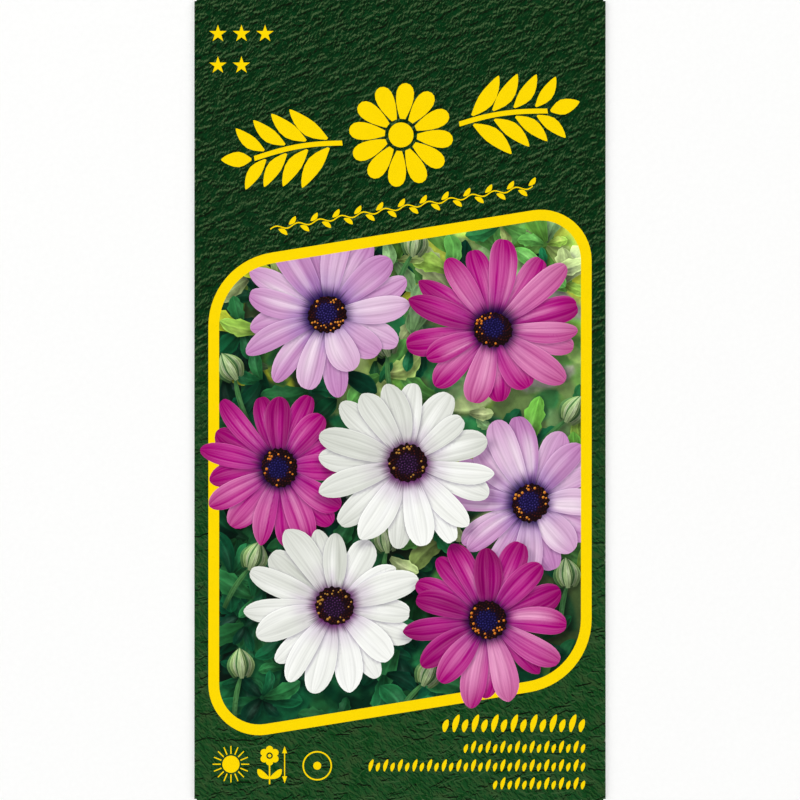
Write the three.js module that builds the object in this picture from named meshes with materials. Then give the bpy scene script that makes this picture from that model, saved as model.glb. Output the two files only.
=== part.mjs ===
// A flower-seed packet: a paper envelope folded from one blank and glued shut, with a heat-sealed
// foil sachet of seeds inside it.
// Millimetres. The packet lies on its back: +X to the right of its front, +Y to its top, +Z out of its front.
// The origin is under its middle, on the surface that it lies on.

import * as THREE from "three";

// Driving dimensions.
const PACKET_WIDTH = 82;
const PACKET_HEIGHT = 160;
const PAPER = 0.15; // coated paper with its film
const GLUE = 0.1; // a dried line of glue
const GLUE_CLEARANCE = 0.02; // between a glue line and each ply
const SLIP = 0.05; // between plies that only touch
const RISE = 3.3; // how far the sachet lifts the middle of the front
const LAP = 10; // how far the right back flap lies over the left one
const JOGGLE = 2.5; // where the right back flap steps down off the left one
const BOTTOM_FLAP = 16;
const TOP_FLAP = 20;
const FLAP_INSET = 1; // from the packet's side to the end of an end flap's fold
const FLAP_TAPER = 3.5; // how far an end flap narrows on each side by its free edge

const SACHET_WIDTH = 58;
const SACHET_HEIGHT = 88;
const SACHET_MIDDLE_Y = -8; // it has slid a little towards the packet's bottom
const SEAL = 5; // the heat-sealed border's width
const FOIL = 0.1; // laminate of film, aluminium and sealing layer
const POCKET_RISE = 2.8;

const SEED_LENGTH = 6.4;
const SEED_WIDTH = 2.6;
const SEED_COLUMNS = 3;
const SEED_ROWS = 5;
const SEED_FIELD = { width: 20, height: 38, y: -10 }; // where the seeds' middles lie
const SEED_JITTER = 1.1;

// Levels of the plies' lower faces, from the ground up, where the packet is pressed flat at its ends.
const PLY_GAP = GLUE + 2 * GLUE_CLEARANCE;
const BACK_LEVEL = PAPER + PLY_GAP; // both back flaps
const LAPPED_LEVEL = BACK_LEVEL + PAPER + PLY_GAP; // the right back flap, over the left one
const INSIDE_FLOOR = LAPPED_LEVEL + PAPER;
const FRONT_LEVEL = INSIDE_FLOOR + SLIP;
const FRONT_TOP = FRONT_LEVEL + PAPER;

// The folds are half rounds that join the plies' outer faces.
const SIDE_FOLD = (FRONT_TOP - BACK_LEVEL) / 2;
const END_FOLD = FRONT_TOP / 2;
const FOLD_STEPS = 4;
const SIDE_LINE = PACKET_WIDTH / 2 - SIDE_FOLD; // x where the front ends and its fold begins
const END_LINE = PACKET_HEIGHT / 2 - END_FOLD; // y where the front ends and its fold begins

// A value that is 1 in the middle, flat there, and runs out smoothly to 0 at share 1.
function swell(share, fullness, run) {
  return Math.pow(Math.max(0, 1 - Math.pow(Math.abs(share), fullness)), run);
}

function frontRise(x, y) {
  return RISE * swell(x / SIDE_LINE, 3, 1.5) * swell(y / END_LINE, 3.5, 1.5);
}

function spaced(from, to, count) {
  return Array.from({ length: count + 1 }, (_, k) => from + ((to - from) * k) / count);
}

// A closed sheet from a grid of stations. place(i, j, side) gives a corner on its outer (0) or inner (1) face,
// and isCell(i, j) says whether the sheet has the cell between stations i, i + 1 and j, j + 1.
function sheetGeometry(columns, rows, isCell, place) {
  const positions = [];
  const quad = (...corners) => {
    for (const k of [0, 1, 2, 0, 2, 3]) positions.push(...corners[k]);
  };
  const has = (i, j) => i >= 0 && j >= 0 && i < columns && j < rows && isCell(i, j);
  for (let i = 0; i < columns; i++) {
    for (let j = 0; j < rows; j++) {
      if (!has(i, j)) continue;
      const ring = [[i, j], [i + 1, j], [i + 1, j + 1], [i, j + 1]];
      const beyond = [has(i, j - 1), has(i + 1, j), has(i, j + 1), has(i - 1, j)];
      quad(...ring.map(([a, b]) => place(a, b, 0)));
      quad(...[...ring].reverse().map(([a, b]) => place(a, b, 1)));
      ring.forEach((from, k) => {
        if (beyond[k]) return;
        const to = ring[(k + 1) % 4];
        quad(place(...to, 0), place(...from, 0), place(...from, 1), place(...to, 1));
      });
    }
  }
  const geometry = new THREE.BufferGeometry();
  geometry.setAttribute("position", new THREE.Float32BufferAttribute(positions, 3));
  geometry.computeVertexNormals();
  return geometry;
}

// The envelope's stations round its girth: across the left back flap, round the left fold, over the front,
// round the right fold and back across the right flap. Each gives [x, z] on the outer and on the inner face.
function girthStations() {
  const flat = (x, low, outerIsLow) => {
    const faces = outerIsLow ? [low, low + PAPER] : [low + PAPER, low];
    return { outer: [x, faces[0]], inner: [x, faces[1]] };
  };
  const onFold = (side, turn) => {
    const point = (radius) => [
      side * (SIDE_LINE + radius * Math.sin(turn)),
      BACK_LEVEL + SIDE_FOLD - radius * Math.cos(turn),
    ];
    return { outer: point(SIDE_FOLD), inner: point(SIDE_FOLD - PAPER) };
  };
  const turns = spaced(0, Math.PI, FOLD_STEPS).slice(1, -1);
  const innerEdge = PACKET_WIDTH / 2 - FLAP_INSET;
  return [
    ...spaced(LAP / 2, -SIDE_LINE, 5).map((x) => flat(x, BACK_LEVEL, true)),
    ...turns.map((turn) => onFold(-1, turn)),
    ...[-SIDE_LINE, ...spaced(-innerEdge, innerEdge, 20), SIDE_LINE].map((x) => ({
      ...flat(x, FRONT_LEVEL, false),
      isFront: true,
    })),
    ...[...turns].reverse().map((turn) => onFold(1, turn)),
    ...spaced(SIDE_LINE, LAP / 2 + JOGGLE, 4).map((x) => flat(x, BACK_LEVEL, true)),
    ...[LAP / 2, -LAP / 2].map((x) => flat(x, LAPPED_LEVEL, true)),
  ];
}

// The envelope's stations along its height: up the folded-in bottom flap, round its fold, over the front and
// round the top fold into the top flap. z gives the two faces of an end flap or fold.
function heightStations() {
  const flapRow = (end, depth, reach) => ({
    y: end * (PACKET_HEIGHT / 2 - depth),
    z: [0, PAPER],
    narrowing: reach,
  });
  const foldRow = (end, turn) => {
    const point = (radius) => [
      end * (END_LINE + radius * Math.sin(turn)),
      END_FOLD - radius * Math.cos(turn),
    ];
    const [outer, inner] = [point(END_FOLD), point(END_FOLD - PAPER)];
    return { y: outer[0], yInner: inner[0], z: [outer[1], inner[1]], narrowing: 0 };
  };
  const turns = spaced(0, Math.PI, FOLD_STEPS).slice(1, -1);
  return [
    flapRow(-1, BOTTOM_FLAP, FLAP_TAPER),
    flapRow(-1, END_FOLD, 0),
    ...turns.map((turn) => foldRow(-1, turn)),
    ...spaced(-END_LINE, END_LINE, 32).map((y) => ({ y, isFront: true })),
    ...[...turns].reverse().map((turn) => foldRow(1, turn)),
    flapRow(1, END_FOLD, 0),
    flapRow(1, TOP_FLAP, FLAP_TAPER),
  ];
}

function envelopeGeometry() {
  const girth = girthStations();
  const height = heightStations();
  const innerEdge = PACKET_WIDTH / 2 - FLAP_INSET + 1e-6;
  const carriesEndFlap = (i) => {
    const station = girth[i];
    return Boolean(station.isFront) && Math.abs(station.outer[0]) < innerEdge;
  };
  const isCell = (i, j) =>
    (height[j].isFront && height[j + 1].isFront) || (carriesEndFlap(i) && carriesEndFlap(i + 1));
  const place = (i, j, side) => {
    const across = side ? girth[i].inner : girth[i].outer;
    const row = height[j];
    if (row.isFront) {
      const lift = girth[i].isFront ? frontRise(across[0], row.y) : 0;
      return [across[0], row.y, across[1] + lift];
    }
    const share = 1 - row.narrowing / (PACKET_WIDTH / 2);
    return [across[0] * share, side && row.yInner !== undefined ? row.yInner : row.y, row.z[side]];
  };
  return sheetGeometry(girth.length - 1, height.length - 1, isCell, place);
}

// A web of the sachet: its border lies flat and its pocket rises by the given amount.
function webGeometry(low, rise) {
  const pocketWidth = SACHET_WIDTH / 2 - SEAL;
  const pocketHeight = SACHET_HEIGHT / 2 - SEAL;
  const across = [-SACHET_WIDTH / 2, ...spaced(-pocketWidth, pocketWidth, rise ? 12 : 1), SACHET_WIDTH / 2];
  const along = [-SACHET_HEIGHT / 2, ...spaced(-pocketHeight, pocketHeight, rise ? 18 : 1), SACHET_HEIGHT / 2];
  const place = (i, j, side) => {
    const lift = rise * swell(across[i] / pocketWidth, 4, 1.2) * swell(along[j] / pocketHeight, 4, 1.2);
    return [across[i], along[j], low + lift + (side ? 0 : FOIL)];
  };
  return sheetGeometry(across.length - 1, along.length - 1, () => true, place);
}

// One seed: a tapered grain with three blunt ridges, lying on one of its flats along X.
function seedGeometry() {
  const geometry = new THREE.SphereGeometry(1, 9, 8);
  geometry.rotateZ(Math.PI / 2);
  const position = geometry.getAttribute("position");
  const point = new THREE.Vector3();
  for (let k = 0; k < position.count; k++) {
    point.fromBufferAttribute(position, k);
    const ridge = 1 - 0.13 * Math.sin(3 * Math.atan2(point.z, point.y));
    const taper = 0.82 - 0.18 * point.x;
    const girth = (SEED_WIDTH / 2) * ridge * taper;
    position.setXYZ(k, (point.x * SEED_LENGTH) / 2, point.y * girth, point.z * girth);
  }
  geometry.computeBoundingBox();
  geometry.translate(0, 0, -geometry.boundingBox.min.z);
  return geometry;
}

// A seeded random draw, each value from 0 to 1.
function randomDraw(seed) {
  let state = seed;
  return () => {
    state = (state * 1103515245 + 12345) % 2147483648;
    return state / 2147483648;
  };
}

// Materials.
const printedPaper = new THREE.MeshStandardMaterial({ color: 0x123f22, roughness: 0.42, metalness: 0 });
const driedGlue = new THREE.MeshStandardMaterial({ color: 0xe9e2c8, roughness: 0.5, metalness: 0 });
const metallisedFilm = new THREE.MeshStandardMaterial({ color: 0xb9bcc0, roughness: 0.32, metalness: 0.8 });
const seedCoat = new THREE.MeshStandardMaterial({ color: 0x6b4a2c, roughness: 0.75, metalness: 0 });

const packet = new THREE.Group();

function add(name, geometry, material, x = 0, y = 0, z = 0, turn = 0) {
  const mesh = new THREE.Mesh(geometry, material);
  mesh.name = name;
  mesh.position.set(x, y, z);
  mesh.rotation.z = turn;
  packet.add(mesh);
  return mesh;
}

// The envelope, one folded blank.
add("envelope", envelopeGeometry(), printedPaper);

// The glue that closes it: down the back's lap, and under each end flap.
const glueLine = (width, height) => new THREE.BoxGeometry(width, height, GLUE);
const END_GLUE_WIDTH = PACKET_WIDTH - 2 * (FLAP_INSET + FLAP_TAPER) - 2;
const END_GLUE_HEIGHT = 7;
const underFlap = PAPER + PLY_GAP / 2;
const inLap = BACK_LEVEL + PAPER + PLY_GAP / 2;
add("back_seam_glue", glueLine(LAP - 4, PACKET_HEIGHT - 8), driedGlue, 0, 0, inLap);
add(
  "bottom_flap_glue",
  glueLine(END_GLUE_WIDTH, END_GLUE_HEIGHT),
  driedGlue,
  0,
  -PACKET_HEIGHT / 2 + BOTTOM_FLAP - END_GLUE_HEIGHT / 2 - 2,
  underFlap,
);
add(
  "top_flap_glue",
  glueLine(END_GLUE_WIDTH, END_GLUE_HEIGHT),
  driedGlue,
  0,
  PACKET_HEIGHT / 2 - TOP_FLAP + END_GLUE_HEIGHT / 2 + 2,
  underFlap,
);

// The sachet: a flat back web and a front web that is sealed to its border and bulges over the seeds.
const backWebLevel = INSIDE_FLOOR + SLIP;
const frontWebLevel = backWebLevel + FOIL + SLIP;
add("sachet_back_web", webGeometry(0, 0), metallisedFilm, 0, SACHET_MIDDLE_Y, backWebLevel);
add("sachet_front_web", webGeometry(0, POCKET_RISE), metallisedFilm, 0, SACHET_MIDDLE_Y, frontWebLevel);

// The seeds, scattered over the back web.
const draw = randomDraw(20);
const grain = seedGeometry();
for (let column = 0; column < SEED_COLUMNS; column++) {
  for (let row = 0; row < SEED_ROWS; row++) {
    const number = String(column * SEED_ROWS + row + 1).padStart(2, "0");
    const x = SEED_FIELD.width * (column / (SEED_COLUMNS - 1) - 0.5) + SEED_JITTER * (2 * draw() - 1);
    const y = SEED_FIELD.height * (row / (SEED_ROWS - 1) - 0.5) + SEED_JITTER * (2 * draw() - 1);
    add(`seed_${number}`, grain, seedCoat, x, SEED_FIELD.y + y, backWebLevel + FOIL + SLIP, Math.PI * 2 * draw());
  }
}

export default packet;
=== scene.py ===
"""Looks of a flower-seed packet: a printed paper envelope, folded from one blank and glued shut, with a
heat-sealed foil sachet of seeds inside it.

The print is laid out in millimetres on the flat blank. s runs across the blank and t up it, with 0, 0 in
the middle of the front, so a place on the front has the same numbers as its x and y on the packet. Finished
meshes are in metres. Other lengths are in millimetres and turns in degrees, unless a comment says otherwise.
"""

import logging
import math
from collections.abc import Callable, Iterable, Iterator, Sequence
from dataclasses import dataclass, field
from enum import Enum, IntEnum
from typing import Any

import bmesh
import bpy
import numpy as np
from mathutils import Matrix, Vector, noise
from mathutils.geometry import delaunay_2d_cdt


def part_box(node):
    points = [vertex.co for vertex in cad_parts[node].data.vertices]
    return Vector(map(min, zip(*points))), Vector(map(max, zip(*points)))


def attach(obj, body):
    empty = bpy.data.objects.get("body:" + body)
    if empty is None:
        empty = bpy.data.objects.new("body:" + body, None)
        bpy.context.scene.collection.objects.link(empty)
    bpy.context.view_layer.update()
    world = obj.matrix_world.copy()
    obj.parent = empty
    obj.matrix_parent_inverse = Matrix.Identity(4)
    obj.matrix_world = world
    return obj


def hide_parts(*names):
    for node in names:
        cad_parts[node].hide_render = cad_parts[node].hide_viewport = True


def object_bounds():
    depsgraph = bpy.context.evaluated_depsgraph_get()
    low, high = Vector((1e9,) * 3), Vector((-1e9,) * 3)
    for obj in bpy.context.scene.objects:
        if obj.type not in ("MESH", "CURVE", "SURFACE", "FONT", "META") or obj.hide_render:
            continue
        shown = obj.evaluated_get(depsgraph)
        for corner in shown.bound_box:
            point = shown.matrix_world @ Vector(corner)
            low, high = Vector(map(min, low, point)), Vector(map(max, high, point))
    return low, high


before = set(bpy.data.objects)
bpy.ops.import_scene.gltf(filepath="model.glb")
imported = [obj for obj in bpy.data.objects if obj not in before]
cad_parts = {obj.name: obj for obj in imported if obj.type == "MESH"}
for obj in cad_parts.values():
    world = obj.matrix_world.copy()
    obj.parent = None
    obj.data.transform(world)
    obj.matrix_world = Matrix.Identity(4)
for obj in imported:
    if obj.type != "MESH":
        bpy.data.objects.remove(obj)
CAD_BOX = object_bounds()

log = logging.getLogger("seed_packet")

MM = 0.001
BODY = "root"

Points = np.ndarray  # rows of s and t
Colour = np.ndarray  # linear red, green and blue
Random = np.random.Generator
Socket = bpy.types.NodeSocket


# --- Colours and shapes on the flat ---


def linear(hex_code: str) -> Colour:
    """Turns an sRGB colour such as "#ffdd00" into linear red, green and blue."""
    share = np.array([int(hex_code[k : k + 2], 16) for k in (1, 3, 5)]) / 255
    return np.where(share <= 0.04045, share / 12.92, ((share + 0.055) / 1.055) ** 2.4)


def solid(hex_code: str) -> tuple[float, float, float, float]:
    """Gives an sRGB colour as a colour socket takes it."""
    return (*linear(hex_code), 1.0)


def mixed(low: Colour, high: Colour, share: np.ndarray) -> Colour:
    """Blends two colours, or rows of colours, by a share for each row."""
    return low + (high - low) * np.asarray(share)[..., None]


def eased(value: np.ndarray, start: float, end: float) -> np.ndarray:
    """Runs smoothly from 0 at start to 1 at end."""
    share = np.clip((np.asarray(value, float) - start) / (end - start), 0, 1)
    return share * share * (3 - 2 * share)


def swell(share: np.ndarray, fullness: float, run: float) -> np.ndarray:
    """Is 1 and flat in the middle, and runs out smoothly to 0 at a share of 1."""
    return np.clip(1 - np.abs(share) ** fullness, 0, None) ** run


def turned(points: Points, degrees: float) -> Points:
    """Turns points anticlockwise round 0, 0."""
    c, s = math.cos(math.radians(degrees)), math.sin(math.radians(degrees))
    return np.asarray(points, float) @ np.array([[c, s], [-s, c]])


def heading(degrees: float, length: float = 1.0) -> Points:
    """Gives the step of a length in a direction, anticlockwise from +s."""
    return turned(np.array([length, 0.0]), degrees)


def ring(middle: Points, radius: float, count: int, start: float = 0.0) -> Points:
    """Gives points on a circle, anticlockwise from an angle."""
    return np.array([middle + heading(start + 360 * k / count, radius) for k in range(count)])


def inside(points: Points, outline: Points) -> np.ndarray:
    """Tells which points lie inside a closed outline.

    Args:
        points: the points to test.
        outline: the corners of the outline, in order.

    Returns:
        One truth value for each point.
    """
    result = np.zeros(len(points), bool)
    near = np.all((points >= outline.min(0)) & (points <= outline.max(0)), axis=1).nonzero()[0]
    x, y = points[near, 0], points[near, 1]
    odd = np.zeros(len(near), bool)
    for (x0, y0), (x1, y1) in zip(outline, np.roll(outline, -1, axis=0)):
        if y0 != y1:
            odd ^= ((y0 > y) != (y1 > y)) & (x < (x1 - x0) * (y - y0) / (y1 - y0) + x0)
    result[near] = odd
    return result


def spaced(corners: Points, step: float, closed: bool = True) -> Points:
    """Adds points to a line of corners so that none is further than a step from the next.

    Args:
        corners: the line's corners, which are all kept.
        step: the widest spacing.
        closed: whether the last corner joins the first.

    Returns:
        The corners with the points between them.
    """
    corners = np.asarray(corners, float)
    rows = []
    for a, b in zip(corners, np.roll(corners, -1, axis=0) if closed else corners[1:]):
        count = max(1, math.ceil(np.linalg.norm(b - a) / step - 1e-9))
        rows.append(a + (b - a) * (np.arange(count) / count)[:, None])
    return np.vstack(rows if closed else [*rows, corners[-1:]])


def rounded(corners: Points, radii: Sequence[float], steps: int = 14) -> Points:
    """Rounds the corners of a closed outline.

    Args:
        corners: the sharp corners, anticlockwise.
        radii: each corner's radius.
        steps: how many pieces each arc has.

    Returns:
        The rounded outline.
    """
    rows = []
    for before, at, after, radius in zip(np.roll(corners, 1, 0), corners, np.roll(corners, -1, 0), radii):
        back, on = (before - at) / np.linalg.norm(before - at), (after - at) / np.linalg.norm(after - at)
        half = math.acos(float(back @ on)) / 2
        middle = at + (back + on) / np.linalg.norm(back + on) * radius / math.sin(half)
        first = at + back * radius / math.tan(half) - middle
        sweep = 180 - 2 * math.degrees(half)
        rows += [middle + turned(first, sweep * k / steps) for k in range(steps + 1)]
    return np.array(rows)


def scattered(area: Points, step: float, draw: Random, without: Points | None = None) -> Points:
    """Scatters points over an area, clear of its edge.

    Args:
        area: the area's outline.
        step: how far apart they lie.
        draw: random numbers, which move each point a little.
        without: the outline of an area that is left out.

    Returns:
        The points.
    """
    stray, clear = 0.14, 0.3  # shares of the step by which points are moved, and kept off the edge
    low, high = area.min(0), area.max(0)
    pitch = np.array([step, step * math.sqrt(0.75)])  # rows of a triangular lattice
    i, j = np.meshgrid(*(np.arange(n) for n in np.ceil((high - low) / pitch) + 1), indexing="ij")
    grid = np.c_[(i + 0.5 * (j % 2)).ravel(), j.ravel()] * pitch + low
    grid += draw.uniform(-stray, stray, grid.shape) * step
    for x, y in ((1, 0), (-1, 0), (0, 1), (0, -1)):
        grid = grid[inside(grid + np.array([x, y]) * step * clear, area)]
    return grid if without is None else grid[~inside(grid, without)]


@dataclass(frozen=True)
class Blade:
    """The strip that a petal or a leaf covers, from its root to its tip."""

    root: Points
    tip: Points
    half_width: float
    bow: float = 0.0  # how far its middle line is bent to the left, as a share of its length
    widest: float = 0.6  # where along its length it is widest
    waist: float = 0.3  # its width at the root, as a share of the widest
    point: float = 2.0  # the higher, the longer it keeps its width towards the tip
    taper: float = 0.6  # about 0.5 for a round tip and 1 for a sharp one

    TOOTH_RISE = 0.72  # the share of a tooth that slants outwards
    TEETH_GROW = (0.2, 0.45)  # the shares of the length between which teeth come to their full size
    NOTCH_WIDTH = 0.3  # a tip's notch, as a share of the widest

    @property
    def length(self) -> float:
        """From root to tip."""
        return float(np.linalg.norm(self.tip - self.root))

    @property
    def axes(self) -> tuple[Points, Points]:
        """The unit directions along it and across it."""
        along = (self.tip - self.root) / self.length
        return along, np.array([-along[1], along[0]])

    def half(self, along: np.ndarray) -> np.ndarray:
        """Gives half its width at shares of its length.

        Args:
            along: shares of its length.

        Returns:
            Millimetres for each share.
        """
        rising = np.clip(along / self.widest, 0, 1)
        falling = np.clip((along - self.widest) / (1 - self.widest), 0, 1)
        girth = self.waist + (1 - self.waist) * np.sin(rising * math.pi / 2)
        return self.half_width * girth * (1 - falling**self.point) ** self.taper

    def drift(self, along: np.ndarray) -> np.ndarray:
        """How far its middle line is bent aside at shares of its length."""
        share = np.clip(along, 0, 1)
        return self.bow * self.length * 4 * share * (1 - share)

    def local(self, points: Points) -> tuple[np.ndarray, np.ndarray]:
        """Finds where points lie along it and beside its middle line.

        Args:
            points: the points.

        Returns:
            Their shares of the length, and how far each is to the left of the middle line.
        """
        on, side = self.axes
        along = (points - self.root) @ on / self.length
        return along, (points - self.root) @ side - self.drift(along)

    def shares(self, points: Points) -> tuple[np.ndarray, np.ndarray]:
        """Gives points' shares of the length and, from -1 to 1, of the width."""
        along, aside = self.local(points)
        return along, np.clip(aside / np.maximum(self.half(along), 1e-3), -1, 1)

    def near(self, points: Points, margin: float) -> np.ndarray:
        """Tells which points may lie within a margin of it.

        Args:
            points: the points to test.
            margin: the margin.

        Returns:
            One truth value for each point.
        """
        reach = self.half_width + margin + abs(self.bow) * self.length
        low, high = np.minimum(self.root, self.tip) - reach, np.maximum(self.root, self.tip) + reach
        return np.all((points > low) & (points < high), axis=1)

    def distance(self, points: Points) -> np.ndarray:
        """About how far points are outside it.

        Args:
            points: the points to measure.

        Returns:
            A distance for each point, which is 0 inside.
        """
        along, aside = self.local(points)
        beyond = np.maximum(np.maximum(along - 1, -along), 0) * self.length
        return np.hypot(np.maximum(np.abs(aside) - self.half(along), 0), beyond)

    def outline(self, steps: int, teeth: int = 0, tooth: float = 0.0, notch: float = 0.0) -> Points:
        """Draws its edge.

        Args:
            steps: how many stations it has along its length.
            teeth: how many teeth each side has.
            tooth: how far a tooth stands out, as a share of the width.
            notch: how deep the tip is notched, as a share of the length.

        Returns:
            The outline, anticlockwise, with the tip once.
        """
        along = (1 - np.cos(np.linspace(0, math.pi, steps + 1))) / 2
        if teeth:
            notches = np.arange(teeth) / teeth
            along = np.unique(np.r_[along, notches, notches + self.TOOTH_RISE / teeth])
        phase = (along * teeth) % 1
        back = (1 - phase) / (1 - self.TOOTH_RISE)
        saw = np.where(phase < self.TOOTH_RISE, phase / self.TOOTH_RISE, back) - 0.5
        half = self.half(along) * (1 + tooth * saw * eased(along, *self.TEETH_GROW) * (teeth > 0))
        on, side = self.axes
        middle = self.root + np.outer(along * self.length, on) + np.outer(self.drift(along), side)
        near_tip = np.exp(-((half / self.half_width / self.NOTCH_WIDTH) ** 2)) * (along > 0.5)
        middle -= np.outer(notch * self.length * near_tip, on)
        left, right = middle + half[:, None] * side, middle - half[:, None] * side
        return np.vstack([right[:-1], middle[-1:], left[-2::-1]])


# --- Finishes ---


MIX_A, MIX_B, MIX_RESULT = 6, 7, 2  # the colour sockets of a Mix node


@dataclass
class Finish:
    """A Principled surface with a colour and a relief of its own, made by adding one node at a time."""

    name: str
    roughness: float
    ior: float = 1.5
    metallic: float = 0.0
    rubbed: float = 3.0  # how wide a patch is that handling has rubbed
    unevenness: float = 0.1  # how far its roughness differs, as a share

    def __post_init__(self) -> None:
        """Starts on an empty node tree."""
        self.material = bpy.data.materials.new(self.name)
        self.material.use_nodes = True
        self.tree = self.material.node_tree
        self.tree.nodes.clear()

    def add(
        self,
        kind: str,
        inputs: dict[int | str, Any] | Sequence[Any],
        output: int | str = 0,
        stops: Sequence[tuple[float, str]] = (),
        **settings: Any,
    ) -> Socket | None:
        """Adds a node with its settings and links.

        Args:
            kind: the node's type, without its "ShaderNode".
            inputs: a number, a colour or another node's output for each input, in order or by its name
                or number. MapRange takes a value, the two where it runs from, and the two where it runs to.
            output: which output to hand back.
            stops: a colour ramp's places, each with an sRGB colour.
            settings: the node's own properties.

        Returns:
            The chosen output, to feed to another node.
        """
        node = self.tree.nodes.new(f"ShaderNode{kind}")
        for name, value in settings.items():
            setattr(node, name, value)
        for key, value in inputs.items() if isinstance(inputs, dict) else enumerate(inputs):
            if isinstance(value, Socket):
                self.tree.links.new(value, node.inputs[key])
            else:
                node.inputs[key].default_value = value
        for k, (place, colour) in enumerate(stops):
            elements = node.color_ramp.elements
            element = elements[k] if k < 2 else elements.new(place)
            element.position, element.color = place, solid(colour)
        return node.outputs[output] if node.outputs else None

    def place(
        self, size: float | Sequence[float], turn: float = 0.0, shift: Sequence[float] = (0, 0, 0)
    ) -> Socket:
        """Gives Object coordinates for a pattern.

        Args:
            size: what one unit of the pattern measures, or what it measures along each axis.
            turn: how far the pattern is turned anticlockwise.
            shift: how far the pattern is moved.

        Returns:
            The coordinates, in units of the pattern.
        """
        inputs = {
            "Vector": self.add("TexCoord", (), "Object"),
            "Location": [v * MM for v in shift],
            "Rotation": (0, 0, math.radians(turn)),
            "Scale": np.broadcast_to(size, 3) * MM,
        }
        return self.add("Mapping", inputs, vector_type="TEXTURE")

    def colour(self) -> Socket:
        """Gives the surface's colour."""
        raise NotImplementedError

    def relief(self) -> tuple[Socket, float]:
        """Gives the surface's height, from 0 to 1, and what 1 is in millimetres."""
        raise NotImplementedError

    def dressed(self) -> bpy.types.Material:
        """Links the finish up.

        Returns:
            The finished material.
        """
        height, depth = self.relief()
        patches = self.add("TexNoise", {"Vector": self.place(self.rubbed), "Scale": 1, "Detail": 3})
        ends = (self.roughness * (1 + sign * self.unevenness) for sign in (-1, 1))
        surface = {
            "Base Color": self.colour(),
            "Metallic": self.metallic,
            "IOR": self.ior,
            "Roughness": self.add("MapRange", (patches, 0.3, 0.7, *ends)),
            "Normal": self.add("Bump", {"Height": height, "Strength": 1.0, "Distance": depth * MM}),
        }
        self.add("OutputMaterial", {"Surface": self.add("BsdfPrincipled", surface)})
        return self.material


@dataclass
class Print(Finish):
    """Ink on coated paper under a satin varnish, which gives it a soft sheen. Folding cracks it, and the
    paper shows in pale flecks."""

    roughness: float = 0.3
    ior: float = 1.34  # a varnish's 1.5, lowered to how little the print mirrors
    fibre: float = 0.55  # millimetres: drawn coarser than real fibres, so that it shows
    fibre_height: float = 0.005
    side_fold: float = 40.75  # x past which a side fold is cracked
    end_fold: float = 79.65  # y past which an end fold is cracked
    crack_run: float = 0.2  # how far from there it takes to be fully cracked
    fleck: float = 0.6  # how wide a fleck is
    paper: str = "#d9d6c8"

    def ink(self) -> Socket:
        """Gives the ink's colour."""
        raise NotImplementedError

    def relief(self) -> tuple[Socket, float]:
        """The faint fibres of the paper under the varnish."""
        inputs = {"Vector": self.place(self.fibre), "Scale": 1, "Detail": 4, "Roughness": 0.6}
        return self.add("TexNoise", inputs), self.fibre_height

    def colour(self) -> Socket:
        """The ink, with the paper showing in flecks along the folds.

        Returns:
            The colour.
        """
        past = []
        for axis, line in (("X", self.side_fold), ("Y", self.end_fold)):
            place = self.add("SeparateXYZ", (self.add("TexCoord", (), "Object"),), axis)
            distance = self.add("Math", (place,), operation="ABSOLUTE")
            past.append(self.add("MapRange", (distance, line * MM, (line + self.crack_run) * MM)))
        folded = self.add("Math", past, operation="MAXIMUM")
        flecks = self.add("TexNoise", {"Vector": self.place(self.fleck), "Scale": 1, "Detail": 5})
        cracks = self.add("MapRange", (flecks, 0.62, 0.68, 0, 0.5))
        share = self.add("Math", (folded, cracks), operation="MULTIPLY")
        inputs = {0: share, MIX_A: self.ink(), MIX_B: solid(self.paper)}
        return self.add("Mix", inputs, MIX_RESULT, data_type="RGBA")


@dataclass(frozen=True)
class Tooling:
    """One kind of mark tooled into the ground, which stands up where its grain is high."""

    size: tuple[float, float]  # what one unit of its grain measures along and across
    turn: float  # how far the grain is turned anticlockwise
    detail: float  # how many finer octaves the grain has
    rim: tuple[float, float]  # the grain's values at the foot and at the top of a flank
    step: tuple[float, float]  # how far the light throws a flank
    lit: tuple[str, float]  # the lit flanks' colour and cover
    shaded: tuple[str, float]  # the shaded flanks' colour and cover
    fray: float = 0.0  # how far steep strokes fray it, as a share of their own grain


class Mark(Enum):
    """The marks in the ground: the first two in its upper part, and the others in its lower part."""

    STROKES = Tooling(
        size=(1.1, 0.32), turn=52, detail=2.0, rim=(0.57, 0.63), step=(0.1, -0.2),
        lit=("#2f502a", 0.7), shaded=("#0a1406", 0.6),
    )
    RIDGES = Tooling(
        size=(3.9, 1.2), turn=23, detail=2.5, rim=(0.53, 0.58), step=(0.16, -0.38),
        lit=("#45603a", 0.88), shaded=("#0a0a04", 0.82), fray=0.4,
    )
    CRINKLE = Tooling(
        size=(1.5, 0.65), turn=-42, detail=3.0, rim=(0.46, 0.54), step=(-0.13, -0.17),
        lit=("#37572d", 0.6), shaded=("#0a250e", 0.85),
    )
    CRACKS = Tooling(
        size=(6.5, 2.2), turn=9, detail=4.0, rim=(0.5, 0.512), step=(0.03, 0.28),
        lit=("#3f5f38", 0.5), shaded=("#070b04", 0.95),
    )


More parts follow.
